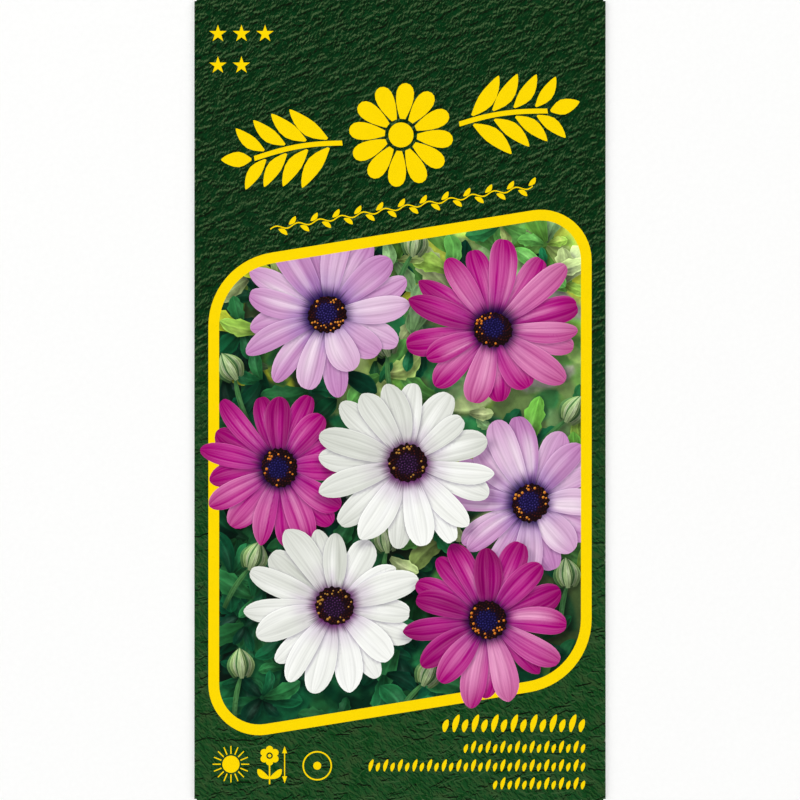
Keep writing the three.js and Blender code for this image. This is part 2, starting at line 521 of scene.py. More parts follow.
@dataclass
class GroundInk(Print):
    """Dark green ground, printed as if tooled in leather and lit from the upper left. Towards the top it has
    wavy ridges, and towards the bottom long cracks in a fine crinkle."""

    name: str = "ground_ink_on_coated_paper"
    stroke: tuple[float, float] = (0.95, 0.27)  # the length and the width of a steep stroke
    fray_turn: float = 58.0  # the slant of the strokes that fray a mark
    break_turn: float = 55.0  # the slant of those that break up the ridges
    border: tuple[float, float] = (3.0, 37.0)  # where cracks end and ridges are whole, before it wanders
    wander: float = 50.0  # how far the border wanders down, times its own grain

    def grain(
        self, size: Sequence[float], turn: float, detail: float, shift: Sequence[float] = (0, 0)
    ) -> Socket:
        """Gives the streaky grain that all the tooling is made from.

        Args:
            size: what one unit of it measures along each axis.
            turn: how far it is turned.
            detail: how many finer octaves it has.
            shift: how far it is moved.

        Returns:
            Its value, about 0.5.
        """
        place = self.place((*size, 1), turn, (*shift, 0))
        inputs = {"Vector": place, "Scale": 1, "Detail": detail, "Roughness": 0.6, "Distortion": 0.4}
        return self.add("TexNoise", inputs, noise_dimensions="2D")

    def flanks(self, mark: Tooling) -> Socket:
        """Finds a mark's flanks, by how its height differs from that a step away.

        Args:
            mark: the mark.

        Returns:
            0 on the level, up to 1 on lit flanks and down to -1 on shaded ones.
        """
        foot, top = (value + mark.fray / 2 for value in mark.rim)
        heights = []
        for shift in ((0, 0), mark.step):
            height = self.grain(mark.size, mark.turn, mark.detail, shift)
            if mark.fray:
                strokes = self.grain(self.stroke, self.fray_turn, 1.0, shift)
                height = self.add("Math", (strokes, mark.fray, height), operation="MULTIPLY_ADD")
            heights.append(self.add("MapRange", (height, foot, top)))
        return self.add("Math", heights, operation="SUBTRACT")

    def emboss(self, below: Socket, mark: Tooling, strength: Socket | None = None) -> Socket:
        """Lays a mark's shaded flanks, and then its lit ones, over a colour.

        Args:
            below: the colour.
            mark: the mark.
            strength: how strong the mark is from place to place, where it isn't even.

        Returns:
            The colour.
        """
        flanks = self.flanks(mark)
        if strength is not None:
            flanks = self.add("Math", (flanks, strength), operation="MULTIPLY")
        for sign, (shade, cover) in ((-1, mark.shaded), (1, mark.lit)):
            share = self.add("MapRange", (flanks, 0.15 * sign, 0.75 * sign, 0, cover))
            inputs = {0: share, MIX_A: below, MIX_B: solid(shade)}
            below = self.add("Mix", inputs, MIX_RESULT, data_type="RGBA")
        return below

    def tooled(self) -> Socket:
        """The wavy ridges, which rise to the right.

        Returns:
            The colour.
        """
        slow = self.grain((1.6, 1.0), 20, 3)
        colour = self.add("ValToRGB", (slow,), stops=[(0.35, "#03240b"), (0.65, "#063616")])
        colour = self.emboss(colour, Mark.STROKES.value)
        strokes = self.grain(self.stroke, self.break_turn, 1.5)
        broken = self.add("MapRange", (strokes, 0.4, 0.54, 0.3, 1))
        return self.emboss(colour, Mark.RIDGES.value, broken)

    def cracked(self) -> Socket:
        """The crinkle with its cracks, each with a lit lower edge.

        Returns:
            The colour.
        """
        slow = self.grain((3.2, 1.8), -35, 4)
        stops = [(0.36, "#0d3f17"), (0.5, "#184821"), (0.66, "#2d4a26")]
        colour = self.emboss(self.add("ValToRGB", (slow,), stops=stops), Mark.CRINKLE.value)
        patches = self.add("MapRange", (self.grain((7.0, 3.0), 40, 2), 0.45, 0.5))
        return self.emboss(colour, Mark.CRACKS.value, patches)

    def ink(self) -> Socket:
        """The two kinds of tooling, which change over below the middle.

        Returns:
            The colour.
        """
        height = self.add("SeparateXYZ", (self.add("TexCoord", (), "Object"),), "Y")
        moved = (self.grain((14, 9), 20, 2), self.wander * MM, height)
        place = self.add("Math", moved, operation="MULTIPLY_ADD")
        upper = self.add("MapRange", (place, *(line * MM for line in self.border)))
        inputs = {0: upper, MIX_A: self.cracked(), MIX_B: self.tooled()}
        return self.add("Mix", inputs, MIX_RESULT, data_type="RGBA")


@dataclass
class SpotInk(Print):
    """One solid spot colour, laid down a little unevenly."""

    shade: str = "#fdd900"
    thin: str = "#fad700"
    mottle: float = 1.6  # how wide the uneven patches are

    def ink(self) -> Socket:
        """The spot colour with the faint mottle of a solid area."""
        mottle = self.add("TexNoise", {"Vector": self.place(self.mottle), "Scale": 1, "Detail": 4})
        return self.add("ValToRGB", (mottle,), stops=[(0.45, self.shade), (0.7, self.thin)])


@dataclass
class PictureInk(Print):
    """The four-colour picture. Its colours come with the print, and it has a fine grain."""

    name: str = "four_colour_ink_on_coated_paper"

    def detail(self, ink: Socket, side: Socket) -> Socket:
        """Adds the picture's fine detail.

        Args:
            ink: the print's colour.
            side: the share of its light that comes from the side; not used here.

        Returns:
            The colour.
        """
        grain = self.add("TexNoise", {"Vector": self.place(0.8), "Scale": 1, "Detail": 5})
        gain = self.add("MapRange", (grain, 0.2, 0.8, 0.84, 1.16))
        return self.add("VectorMath", {0: ink, "Scale": gain}, operation="SCALE")

    def ink(self) -> Socket:
        """The print's colour with its detail."""
        told = {"attribute_type": "GEOMETRY", "attribute_name": Artwork.INK}
        return self.detail(*(self.add("Attribute", (), part, **told) for part in ("Color", "Alpha")))


@dataclass
class PetalInk(PictureInk):
    """Petals in the picture, with long grooves, fine veins and a dark violet root."""

    name: str = "petal_ink_on_coated_paper"
    vein_count: tuple[float, float, float] = (1.8, 8.5, 1)  # in a petal's length, and in half its width
    wander: float = 0.6  # how far the veins bend the grooves, in radians of their wave
    ridges: float = 8.0  # radians of the grooves' wave for each half width
    groove: float = 0.15
    lines: float = 3.0  # how many fine lines there are to a groove
    line: float = 0.08
    sheen: float = 0.07
    veining: float = 0.38
    rim: float = 0.15
    depth: float = 0.45  # how much fuller the colour is in the grooves
    root: float = 0.55  # how dark the streaks at the root are
    streak: float = 0.42  # how far the streaks run out, as a share of the length, times the veins' grain

    def furrows(self, across: Socket, veins: Socket, side: Socket) -> Socket:
        """Adds up the grooves, lit from the side, their fine lines, the veins and the pale rim.

        Args:
            across: places across the petal, from -1 to 1.
            veins: the veins' grain.
            side: the share of the light that comes from the side.

        Returns:
            How much lighter the petal is there, about 0.
        """
        wander = self.add("Math", (veins, 2 * self.wander, -self.wander), operation="MULTIPLY_ADD")
        wave = self.add("Math", (across, self.ridges, wander), operation="MULTIPLY_ADD")
        lean = self.add("Math", (side, 2 * self.sheen, -self.sheen), operation="MULTIPLY_ADD")
        flank = self.add("Math", (wave,), operation="SINE")
        crest = self.add("Math", (wave,), operation="COSINE")
        hollow = self.add("MapRange", (crest, -0.45, -1.0, 0, -self.groove))
        gain = self.add("Math", (flank, lean, hollow), operation="MULTIPLY_ADD")
        fine_wave = self.add("Math", (wave, self.lines), operation="MULTIPLY")
        fine_crest = self.add("Math", (fine_wave,), operation="COSINE")
        lines = self.add("MapRange", (fine_crest, -0.2, -1.0, 0, -self.line))
        fine = self.add("Math", (veins, self.veining, 1 - self.veining / 2), operation="MULTIPLY_ADD")
        edge = self.add("Math", (across,), operation="ABSOLUTE")
        pale = self.add("MapRange", (edge, 0.86, 0.96, 0, self.rim))
        for part in (lines, fine, pale):
            gain = self.add("Math", (gain, part))
        return self.add("Math", (gain, 1.0), operation="SUBTRACT")

    def detail(self, ink: Socket, side: Socket) -> Socket:
        """Grooves and lines lit from the side, veins, a pale rim, and dark streaks at the root.

        Args:
            ink: the print's colour.
            side: the share of its light that comes from the side.

        Returns:
            The colour.
        """
        flat = self.add("UVMap", (), uv_map=Artwork.PLACE)
        place, across = (self.add("SeparateXYZ", (flat,), axis) for axis in "XY")
        drawn_out = self.add("VectorMath", (flat, self.vein_count), operation="MULTIPLY")
        veins = self.add("TexNoise", {"Vector": drawn_out, "Scale": 1, "Detail": 3.5}, noise_dimensions="2D")
        relief = self.furrows(across, veins, side)
        green = self.add("SeparateColor", (ink,), "Green")  # a pale petal is lit by half as much
        strength = self.add("MapRange", (green, 0, 1, 1.0, 0.5))
        gain = self.add("Math", (relief, strength, 1.0), operation="MULTIPLY_ADD")
        own = self.add("Math", (place, Artwork.PITCH), operation="MODULO")
        along = self.add("Math", (veins, -self.streak, own), operation="MULTIPLY_ADD")
        streaks = self.add("MapRange", (along, 0.86, 0.99, -self.root, 0))
        gain = self.add("Math", (gain, streaks))
        fullness = self.add("Math", (relief, -self.depth, 1.0), operation="MULTIPLY_ADD")
        full = self.add("HueSaturation", {"Color": ink, "Saturation": fullness})
        return self.add("VectorMath", {0: full, "Scale": gain}, operation="SCALE")


@dataclass
class LeafInk(PictureInk):
    """Leaves in the picture, folded along a pale rib, with a pale rim."""

    name: str = "leaf_ink_on_coated_paper"
    fold: float = 0.24
    rib: float = 0.4
    rim: float = 0.5
    mottle: tuple[float, float, float] = (5, 2.5, 1)  # patches in a leaf's length, and in half its width

    def detail(self, ink: Socket, side: Socket) -> Socket:
        """Two halves lit apart, a rib, a rim and a soft mottle.

        Args:
            ink: the print's colour.
            side: the share of its light that comes from the side.

        Returns:
            The colour.
        """
        flat = self.add("UVMap", (), uv_map=Artwork.PLACE)
        across = self.add("SeparateXYZ", (flat,), "Y")
        halves = self.add("MapRange", (across, -0.15, 0.15, -self.fold, self.fold))
        lean = self.add("Math", (side, 2, -1), operation="MULTIPLY_ADD")
        gain = self.add("Math", (halves, lean), operation="MULTIPLY")
        out = self.add("Math", (across,), operation="ABSOLUTE")
        spread = self.add("VectorMath", (flat, self.mottle), operation="MULTIPLY")
        mottle = self.add("TexNoise", {"Vector": spread, "Scale": 1, "Detail": 3}, noise_dimensions="2D")
        body, rib = (mottle, 0.25, 0.75, 0.7, 1.3), (out, 0.04, 0.16, self.rib, 0)
        for part in (body, rib, (out, 0.74, 0.98, 0, self.rim)):
            gain = self.add("Math", (gain, self.add("MapRange", part)))
        return self.add("VectorMath", {0: ink, "Scale": gain}, operation="SCALE")


@dataclass
class BarePaper(Finish):
    """The uncoated inside of the paper and its cut edges: white, matt and fibrous."""

    name: str = "bare_white_paper"
    roughness: float = 0.85

    def relief(self) -> tuple[Socket, float]:
        """Long soft fibres in every direction."""
        inputs = {"Vector": self.place(0.7), "Scale": 1, "Detail": 6, "Distortion": 0.6}
        return self.add("TexNoise", inputs), 0.012

    def colour(self) -> Socket:
        """Slightly warm white, with painted shade that greys it between fibres."""
        return self.add("ValToRGB", (self.relief()[0],), stops=[(0.3, "#dfdcd2"), (0.65, "#f1efe8")])


@dataclass
class DriedGlue(Finish):
    """Dextrin glue, dried amber in the seam, glossy and beaded as the nozzle left it."""

    name: str = "dried_dextrin_glue"
    roughness: float = 0.35

    def relief(self) -> tuple[Socket, float]:
        """Beads along the line."""
        return self.add("TexNoise", {"Vector": self.place(1.8), "Scale": 1, "Detail": 3}), 0.03

    def colour(self) -> Socket:
        """Darker where it is thick."""
        return self.add("ValToRGB", (self.relief()[0],), stops=[(0.3, "#f0e9d0"), (0.7, "#d9c793")])


@dataclass
class FoilLaminate(Finish):
    """Polyester film over aluminium foil: satin silver, with sharp creases from handling."""

    name: str = "aluminium_foil_laminate"
    roughness: float = 0.3
    metallic: float = 1.0

    def relief(self) -> tuple[Socket, float]:
        """Facets of a few millimetres, parted by creases.

        Returns:
            The height, and what 1 is in millimetres.
        """
        wander = self.add("TexNoise", {"Vector": self.place(3.0), "Scale": 1, "Detail": 3}, "Color")
        vector = self.add("VectorMath", (self.place(3.4), wander))
        return self.add("TexVoronoi", {"Vector": vector, "Scale": 1}, feature="DISTANCE_TO_EDGE"), 0.12

    def colour(self) -> Socket:
        """Silver, with painted shade that dulls it along the creases."""
        return self.add("ValToRGB", (self.relief()[0],), stops=[(0.0, "#a9abad"), (0.12, "#d2d4d6")])


@dataclass
class SeedCoat(Finish):
    """A dry, corky seed coat: brown, with painted shade darkening its wrinkles and painted light paling its
    ridges.
    """

    name: str = "corky_seed_coat"
    roughness: float = 0.78

    def relief(self) -> tuple[Socket, float]:
        """Irregular wrinkles of a few tenths of a millimetre."""
        inputs = {"Vector": self.place(0.5), "Scale": 1, "Detail": 5, "Distortion": 0.8}
        return self.add("TexNoise", inputs), 0.09

    def colour(self) -> Socket:
        """From painted shade in the hollows to painted light on the tan crests."""
        stops = [(0.3, "#2c1b10"), (0.5, "#5f4126"), (0.72, "#9a7448")]
        return self.add("ValToRGB", (self.relief()[0],), stops=stops)


@dataclass
class StudioPaper(Finish):
    """The seamless pale paper that the packet lies on."""

    name: str = "seamless_studio_paper"
    roughness: float = 0.9

    def relief(self) -> tuple[Socket, float]:
        """A faint tooth."""
        return self.add("TexNoise", {"Vector": self.place(1.0), "Scale": 1, "Detail": 2}), 0.002

    def colour(self) -> Socket:
        """Nearly even white."""
        return self.add("ValToRGB", (self.relief()[0],), stops=[(0.3, "#fafaf9"), (0.7, "#fcfcfb")])


# --- The print ---


class Ink(IntEnum):
    """What a patch of the blank is printed with, in the order of the envelope's materials."""

    GROUND = 0
    YELLOW = 1
    PICTURE = 2
    PETAL = 3
    LEAF = 4
    PANEL = 5
    BARE = 6


Tinted = tuple[np.ndarray, np.ndarray]  # rows of red, green, blue and side light, and rows of own places


def tinted(
    colour: Colour, side: float = 0.5, along: np.ndarray | float = 0.0, width: np.ndarray | float = 0.0
) -> Tinted:
    """Puts together rows of colour, with how much light is from the side, and of places along and across."""
    nothing = np.zeros(len(colour))
    return np.c_[colour, nothing + side], np.c_[nothing + along, nothing + width]


@dataclass(frozen=True)
class Shade:
    """A soft shade: how far it blurs, how dark it is, and how far it falls aside."""

    blur: float
    strength: float
    shift: tuple[float, float]


@dataclass(frozen=True)
class Caster:
    """A petal or leaf that shades what lies under it, most closely within its own stack."""

    blade: Blade
    layer: float
    stack: int
    close: Shade = Shade(0.65, 0.62, (0.08, -0.2))
    far: Shade = Shade(2.4, 0.5, (0.5, -0.9))

    def darkness(self, points: Points, stack: int) -> np.ndarray:
        """Finds how much it darkens points of a shape.

        Args:
            points: the points.
            stack: the shape's stack.

        Returns:
            A share from 0 to 1 for each point.
        """
        shade = self.close if stack == self.stack else self.far
        moved = points - np.array(shade.shift)
        dark = np.zeros(len(points))
        near = self.blade.near(moved, shade.blur)
        if near.any():
            gap = self.blade.distance(moved[near])
            dark[near] = shade.strength * (1 - eased(gap, -0.2, shade.blur)) ** 1.5
        return dark


@dataclass
class Shape:
    """A patch of the print. A shape of a higher layer covers it."""

    outline: Points
    ink: Ink
    layer: float
    tint: Callable[[Points], Tinted] | None = None
    windowed: bool = False  # whether it shows only in the picture's window
    stack: int = -1  # the bloom that it belongs to
    caster: Caster | None = None
    shaded: bool = True


@dataclass(frozen=True)
class PetalColours:
    """A bloom's petal colours, from the disc out to the tips."""

    root: str
    low: str
    middle: str
    tip: str
    lit: str
    shaded: str
    halo: float  # the share of the length over which the root's colour fades
    heart: tuple[str, str]  # the disc's middle, in shade and in light
    pollen: tuple[str, str]  # the pollen, in shade and in light

    def at(self, along: np.ndarray, lightness: np.ndarray) -> Colour:
        """Finds the colour along a petal.

        Args:
            along: shares of the petal's length.
            lightness: how light each place is, from -1 to 1.

        Returns:
            A colour for each place.
        """
        colour = mixed(linear(self.root), linear(self.low), eased(along, 0.05, self.halo))
        colour = mixed(colour, linear(self.middle), eased(along, self.halo * 0.7, 0.5))
        colour = mixed(colour, linear(self.tip), eased(along, 0.55, 1.0))
        strength = eased(along, 0.0, self.halo * 1.2)
        colour = mixed(colour, linear(self.lit), np.clip(lightness, 0, 1) * strength)
        return mixed(colour, linear(self.shaded), np.clip(-lightness, 0, 1) * strength)


class BloomColour(Enum):
    """The kinds of African daisy in the picture."""

    WHITE = PetalColours(
        root="#8c3d8e", low="#dcd0dd", middle="#f6f7f2", tip="#f9faf5", lit="#ffffff", shaded="#cfd2c8",
        halo=0.22, heart=("#1c0f22", "#6d3b78"), pollen=("#6b3c12", "#c99645"),
    )
    LILAC = PetalColours(
        root="#3d2a76", low="#ab80bb", middle="#cb94c5", tip="#c789bf", lit="#f4dfee", shaded="#8c4f88",
        halo=0.22, heart=("#15103a", "#4d3f94"), pollen=("#8c3412", "#f2a23c"),
    )
    MAGENTA = PetalColours(
        root="#38135a", low="#ab3a8c", middle="#c03c92", tip="#ac2079", lit="#f0a8cf", shaded="#780b4f",
        halo=0.2, heart=("#120d36", "#3a3486"), pollen=("#8c3412", "#f09430"),
    )


@dataclass
class Bloom:
    """One African daisy of the picture, leaning a little."""

    middle: tuple[float, float]
    radius: float
    colours: PetalColours
    lean: float  # the direction that it leans towards
    tilt: float  # how far it leans
    petals: int
    seed: int
    windowed: bool = True
    disc: float = 3.9
    dome: float = 1.2
    florets: int = 150
    low_petals: float = 0.42  # the share of its petals that lie in the lower layer
    petal_start: float = 0.72  # where they start, as a share of the disc
    girth: float = 2.5  # half their widths put together, in radii
    glints: int = 5  # soft streaks of light along each petal
    contrast: float = 2.3  # how far a petal's lightness follows the light

    LIGHT = np.array([-0.34, 0.42, 0.84])  # the direction of the light, from the upper left
    LAYERS = 200.0  # how many layers a bloom takes up
    LOW_RISE, HIGH_RISE = (-3, 9), (7, 24)  # how steeply petals of each layer rise
    HEART = 0.55  # the share of the disc that the heart's colours cover
    POLLEN = (0.62, 0.92)  # the shares of the disc between which florets bear pollen
    CUSHION = "#160a0c"
    FLORETS = ("#140608", ("#54201c", "#6b2a20", "#3a1624"))  # the other florets, in shade and in light

    def placed(self, upright: np.ndarray) -> np.ndarray:
        """Leans rows of x, y and z of the upright bloom.

        Args:
            upright: the rows, from the middle of the bloom.

        Returns:
            The rows, with z towards the eye.
        """
        towards = np.array([*heading(self.lean), 0.0])
        aside = np.array([-towards[1], towards[0], 0.0])
        up = np.array([0.0, 0.0, 1.0])
        c, s = math.cos(math.radians(self.tilt)), math.sin(math.radians(self.tilt))
        return (
            np.outer(upright @ towards, towards * c - up * s)
            + np.outer(upright @ aside, aside)
            + np.outer(upright @ up, towards * s + up * c)
        )

    def shapes(self, stack: int) -> Iterator[Shape]:
        """Draws the bloom.

        Args:
            stack: the bloom's number in the picture, from the lowest up.

        Yields:
            Its petals, from the lowest up, and its disc.
        """
        draw = np.random.default_rng(self.seed)
        order = list(range(self.petals))
        draw.shuffle(order)
        order.sort(key=lambda k: k % 2 and draw.random() < 0.75, reverse=True)
        base = stack * self.LAYERS
        for rank, k in enumerate(order):
            yield self.petal(k, rank < self.petals * self.low_petals, stack, base + rank, draw)
        yield from self.head(stack, base + self.petals, draw)

    def petal(self, k: int, low: bool, stack: int, layer: float, draw: Random) -> Shape:
        """Draws one petal.

        Args:
            k: its number round the ring.
            low: whether it belongs to the lower layer of petals.
            stack: the bloom's number.
            layer: its layer.
            draw: the bloom's random numbers.

        Returns:
            The petal.
        """
        angle = 360 * (k + draw.uniform(-0.3, 0.3)) / self.petals
        rise = math.radians(draw.uniform(*(self.LOW_RISE if low else self.HIGH_RISE)))
        reach = self.radius * (draw.uniform(0.88, 1.05) - 0.04 * low)
        out = np.array([*(heading(angle) * math.cos(rise)), math.sin(rise)])
        rows = [out * self.disc * self.petal_start, out * reach, [*heading(angle + 90), 0.0]]
        root, tip, across = self.placed(np.array(rows))
        face = np.cross(tip - root, across)
        facing = float(face @ self.LIGHT) / np.linalg.norm(face)
        along = (tip - root)[:2] / np.linalg.norm((tip - root)[:2])
        breadth = abs(float(across[:2] @ np.array([-along[1], along[0]])))
        blade = Blade(
            root=np.array(self.middle) + root[:2],
            tip=np.array(self.middle) + tip[:2],
            half_width=self.radius * self.girth / self.petals * draw.uniform(0.86, 1.2) * breadth,
            bow=draw.uniform(-0.05, 0.05),
            widest=draw.uniform(0.54, 0.7),
            waist=0.4,
            point=draw.uniform(2.0, 2.8),
            taper=draw.uniform(0.5, 0.72),
        )
        lightness = (facing - self.LIGHT[2]) * self.contrast + draw.uniform(-0.18, 0.18) - 0.2 * low
        aside = self.LIGHT[:2] @ blade.axes[1] / np.linalg.norm(self.LIGHT[:2])
        side = float(np.clip(0.5 + 0.5 * aside, 0, 1))
        ranges = ((-0.7, 0.7), (0.18, 0.4), (-0.25, 0.45))  # a glint's place across, girth and strength
        glints = [[draw.uniform(*span) for span in ranges] for _ in range(self.glints)]
        own = Artwork.PITCH * ((k + 17 * stack) % 60)  # a place of its own along the map of places

        def tint(points: Points) -> Tinted:
            """Finds the petal's own colours and places.

            Args:
                points: points in the petal.

            Returns:
                Its tint there.
            """
            along, width = blade.shares(points)
            light = lightness + (side - 0.5) * width * 0.36 + 0.1 * np.sin(np.clip(along, 0, 1) * math.pi)
            for middle, girth, strength in glints:
                streak = np.exp(-(((width - middle) / girth) ** 2)) * eased(along, 0.08, 0.3)
                light += streak * strength * (1 - eased(along, 0.45, 0.98))
            return tinted(self.colours.at(along, light - 0.1), side, along + 1 + own, width)

        caster = Caster(blade, layer, stack)
        outline = blade.outline(15, notch=draw.choice([0.0, 0.018, 0.03]))
        return Shape(outline, Ink.PETAL, layer, tint, self.windowed, stack, caster)

    def on_dome(self, share: np.ndarray, angle: np.ndarray) -> Points:
        """Gives places on the domed disc, by shares of its radius and angles in radians."""
        across = share[:, None] * self.disc * np.c_[np.cos(angle), np.sin(angle)]
        return np.array(self.middle) + self.placed(np.c_[across, self.dome * (1 - share**2)])[:, :2]

    def head(self, stack: int, layer: float, draw: Random) -> Iterator[Shape]:
        """Draws the disc: a dark cushion, its florets in their spiral, and pollen on the outer ones.

        Args:
            stack: the bloom's number.
            layer: the cushion's layer.
            draw: the bloom's random numbers.

        Yields:
            The cushion and the florets.
        """

        def cushion(points: Points) -> Tinted:
            """Near black, with a violet bloom in the middle."""
            out = np.linalg.norm(points - self.on_dome(np.zeros(1), np.zeros(1)), axis=1) / self.disc
            return tinted(mixed(linear(self.colours.heart[0]), linear(self.CUSHION), eased(out, 0.25, 0.8)))

        steps, scallops = 72, 18
        angles = np.linspace(0, 2 * math.pi, steps, endpoint=False)
        edge = 1 + 0.04 * np.sin(angles * scallops + self.seed) + draw.uniform(-0.03, 0.03, steps)
        yield Shape(self.on_dome(edge, angles), Ink.PICTURE, layer, cushion, self.windowed, stack)
        golden = math.pi * (3 - math.sqrt(5))
        pollen_side = math.radians(draw.uniform(0, 360))
        for k in range(self.florets):
            share = math.sqrt((k + 0.6) / self.florets) * 0.97
            angle = golden * k + self.seed
            place = self.on_dome(np.array([share]), np.array([angle]))[0]
            one_side = 0.5 + 0.5 * math.cos(angle - pollen_side)
            glow = draw.uniform(0.35, 1.0)
            if share < self.HEART:
                tones, size = self.colours.heart, 0.17
            elif self.POLLEN[0] < share < self.POLLEN[1] and draw.random() < 0.08 + 0.36 * one_side:
                tones, size, glow = self.colours.pollen, draw.uniform(0.17, 0.31), 1.0
            else:
                shaded, lit = self.FLORETS
                tones, size = (shaded, lit[k % len(lit)]), draw.uniform(0.13, 0.19)
            dark, bright = (linear(tone) for tone in tones)
            bright = mixed(dark, bright, np.array(glow))
            yield self.floret(place, size, dark, bright, layer + 1 + k * 0.01, stack)

    def floret(
        self, place: Points, size: float, dark: Colour, bright: Colour, layer: float, stack: int
    ) -> Shape:
        """Draws one floret, lit from the upper left.

        Args:
            place: its middle.
            size: its radius.
            dark: its shaded side's colour.
            bright: its lit side's colour.
            layer: its layer.
            stack: the bloom's number.

        Returns:
            The floret.
        """

        def tint(points: Points) -> Tinted:
            """Bright on its upper left."""
            up_left = (points - place) @ np.array([-0.6, 0.8]) / size
            return tinted(mixed(dark, bright, eased(up_left, -0.9, 0.9)))

        return Shape(ring(place, size, 7, 25), Ink.PICTURE, layer, tint, self.windowed, stack, shaded=False)


@dataclass
class Foliage:
    """The leaves and buds behind the blooms: out of focus at the back, and crisp in front."""

    window: Points
    blooms: Sequence[Bloom]
    seed: int = 5
    soft_count: int = 260
    sprigs: int = 185
    buds: tuple[tuple[float, float, float], ...] = (  # each base, and the direction of its tip
        (2.5, 28.5, 80), (33.0, -4.5, 60), (-32.5, 4.0, 120),
        (-2.5, -30.5, 100), (-30.0, -34.0, 70), (33.5, -37.5, 95),
        (-2.2, 8.6, 110), (-31.5, -55.5, 95), (4.5, -57.0, 65),
    )

    DARK = ("#0a3a28", "#0e5033", "#165e39", "#216c3e", "#2e7942")
    LIGHT = ("#62a03e", "#8fb84a", "#acca6e", "#bece38", "#5a9c48", "#b2c684", "#82b070")
    BARK = "#a79a9a"
    DEPTHS = ("#08160f", "#7d9c58")  # behind the leaves, where it is darkest and where it is lightest
    STEM, BRACTS = "#3c6b3a", ("#8fae6c", "#557f49", "#a6bd86")
    LOWEST = -3500.0  # the deepest sprig's layer

    def brightness(self, points: Points) -> np.ndarray:
        """How light the foliage is at points: lightest to the upper right, and darkest low down."""
        return np.clip(0.5 + 0.011 * points[..., 1] + 0.012 * points[..., 0], 0, 1)

    def green(self, place: Points, draw: Random) -> Colour:
        """Draws a leaf's colour, the more often a pale one the lighter its place is.

        Args:
            place: where the leaf grows.
            draw: random numbers.

        Returns:
            The colour.
        """
        bright = float(self.brightness(place))
        pale = draw.random() < bright * 0.84
        return linear(str(draw.choice(self.LIGHT if pale else self.DARK))) * (0.82 + 0.5 * bright**2)

    def backdrop(self) -> Callable[[Points], Tinted]:
        """Lays blurred leaves over each other.

        Returns:
            The tint of the picture's ground.
        """
        draw = np.random.default_rng(self.seed)
        low, high = self.window.min(0), self.window.max(0)
        blurred = []
        for _ in range(self.soft_count):
            root = draw.uniform(low, high)
            length = draw.uniform(5, 14)
            tip = root + heading(draw.uniform(0, 360), length)
            half_width, bow = length * draw.uniform(0.16, 0.27), draw.uniform(-0.1, 0.1)
            blade = Blade(root, tip, half_width, bow, widest=0.5)
            shade = self.green(root, draw) * draw.uniform(0.3, 1.4)
            if draw.random() < 0.09 * self.brightness(root):
                shade = linear(self.BARK)
            blurred.append((blade, shade, draw.uniform(0.3, 1.5), draw.uniform(0.6, 1.0)))

        def tint(points: Points) -> Tinted:
            """Finds what shows of the blurred leaves.

            Args:
                points: points in the picture's ground.

            Returns:
                Its tint there.
            """
            colour = mixed(*(linear(shade) for shade in self.DEPTHS), self.brightness(points) ** 2)
            for blade, shade, blur, cover in blurred:
                near = blade.near(points, blur)
                if near.any():
                    _, width = blade.shares(points[near])
                    share = cover * (1 - eased(blade.distance(points[near]), -0.3, blur))
                    tone = shade * (1 - 0.3 * width + 0.3 * eased(np.abs(width), 0.6, 1.0))[:, None]
                    colour[near] = mixed(colour[near], tone, share)
            return tinted(colour)

        return tint

    def leaf(self, blade: Blade, colour: Colour, layer: float, number: int, teeth: int = 0) -> Shape:
        """Draws one crisp leaf.

        Args:
            blade: the strip that it covers.
            colour: its own colour.
            layer: its layer.
            number: sets its mottle apart from other leaves'.
            teeth: how many teeth each side has.

        Returns:
            The leaf.
        """
        side = 0.5 + 0.5 * float(blade.axes[1] @ np.array([-0.63, 0.78]))
        spot = (0.35 + 0.05 * (number % 7), -0.5 + 0.1 * (number % 11))
        glint = 0.06 * ((number * 7) % 10)
        sunlit = np.minimum(colour * 2.4 + 0.04, 0.8)

        def tint(points: Points) -> Tinted:
            """Finds its colours: darker at its root and paler to its tip, with one soft shine.

            Args:
                points: points in the leaf.

            Returns:
                Its tint there.
            """
            along, width = blade.shares(points)
            tone = colour * (0.45 + 0.7 * eased(along, 0.0, 0.9))[:, None]
            shine = glint * np.exp(-(((along - spot[0]) / 0.22) ** 2) - ((width - spot[1]) / 0.4) ** 2)
            return tinted(mixed(tone, sunlit, shine), side, along + Artwork.PITCH * (number % 60), width)

        shade = Shade(1.0, 0.62, (0.3, -0.45))
        caster = Caster(blade, layer, -1, shade, shade)
        return Shape(blade.outline(12, teeth, 0.26), Ink.LEAF, layer, tint, True, caster=caster)

    def bud(self, place: Points, angle: float, layer: float) -> Iterator[Shape]:
        """Draws a closed bud of narrow bracts on its stem.

        Args:
            place: its base.
            angle: the direction of its tip.
            layer: the stem's layer.

        Yields:
            The stem and the bracts.
        """
        ends = place - heading(angle - 14, 9.0), place + heading(angle, 0.8)
        stem = Blade(*ends, half_width=0.5, bow=0.05, widest=0.5, waist=0.9, point=3)
        yield self.leaf(stem, linear(self.STEM), layer, 1)
        outermost = 38
        for k, spread in enumerate((-outermost, outermost, -29, 29, -19, 19, -9, 9, 0)):
            root = place + heading(angle + spread * 2.2, 1.3 * abs(spread) / outermost)
            tip = place + heading(angle + spread * 0.16, 6.2 - abs(spread) * 0.012)
            bract = Blade(root, tip, 0.72, bow=spread / 190, widest=0.4, waist=0.5, point=1.3, taper=0.9)
            yield self.leaf(bract, linear(self.BRACTS[k % 3]), layer + 1 + k, 3 + k)

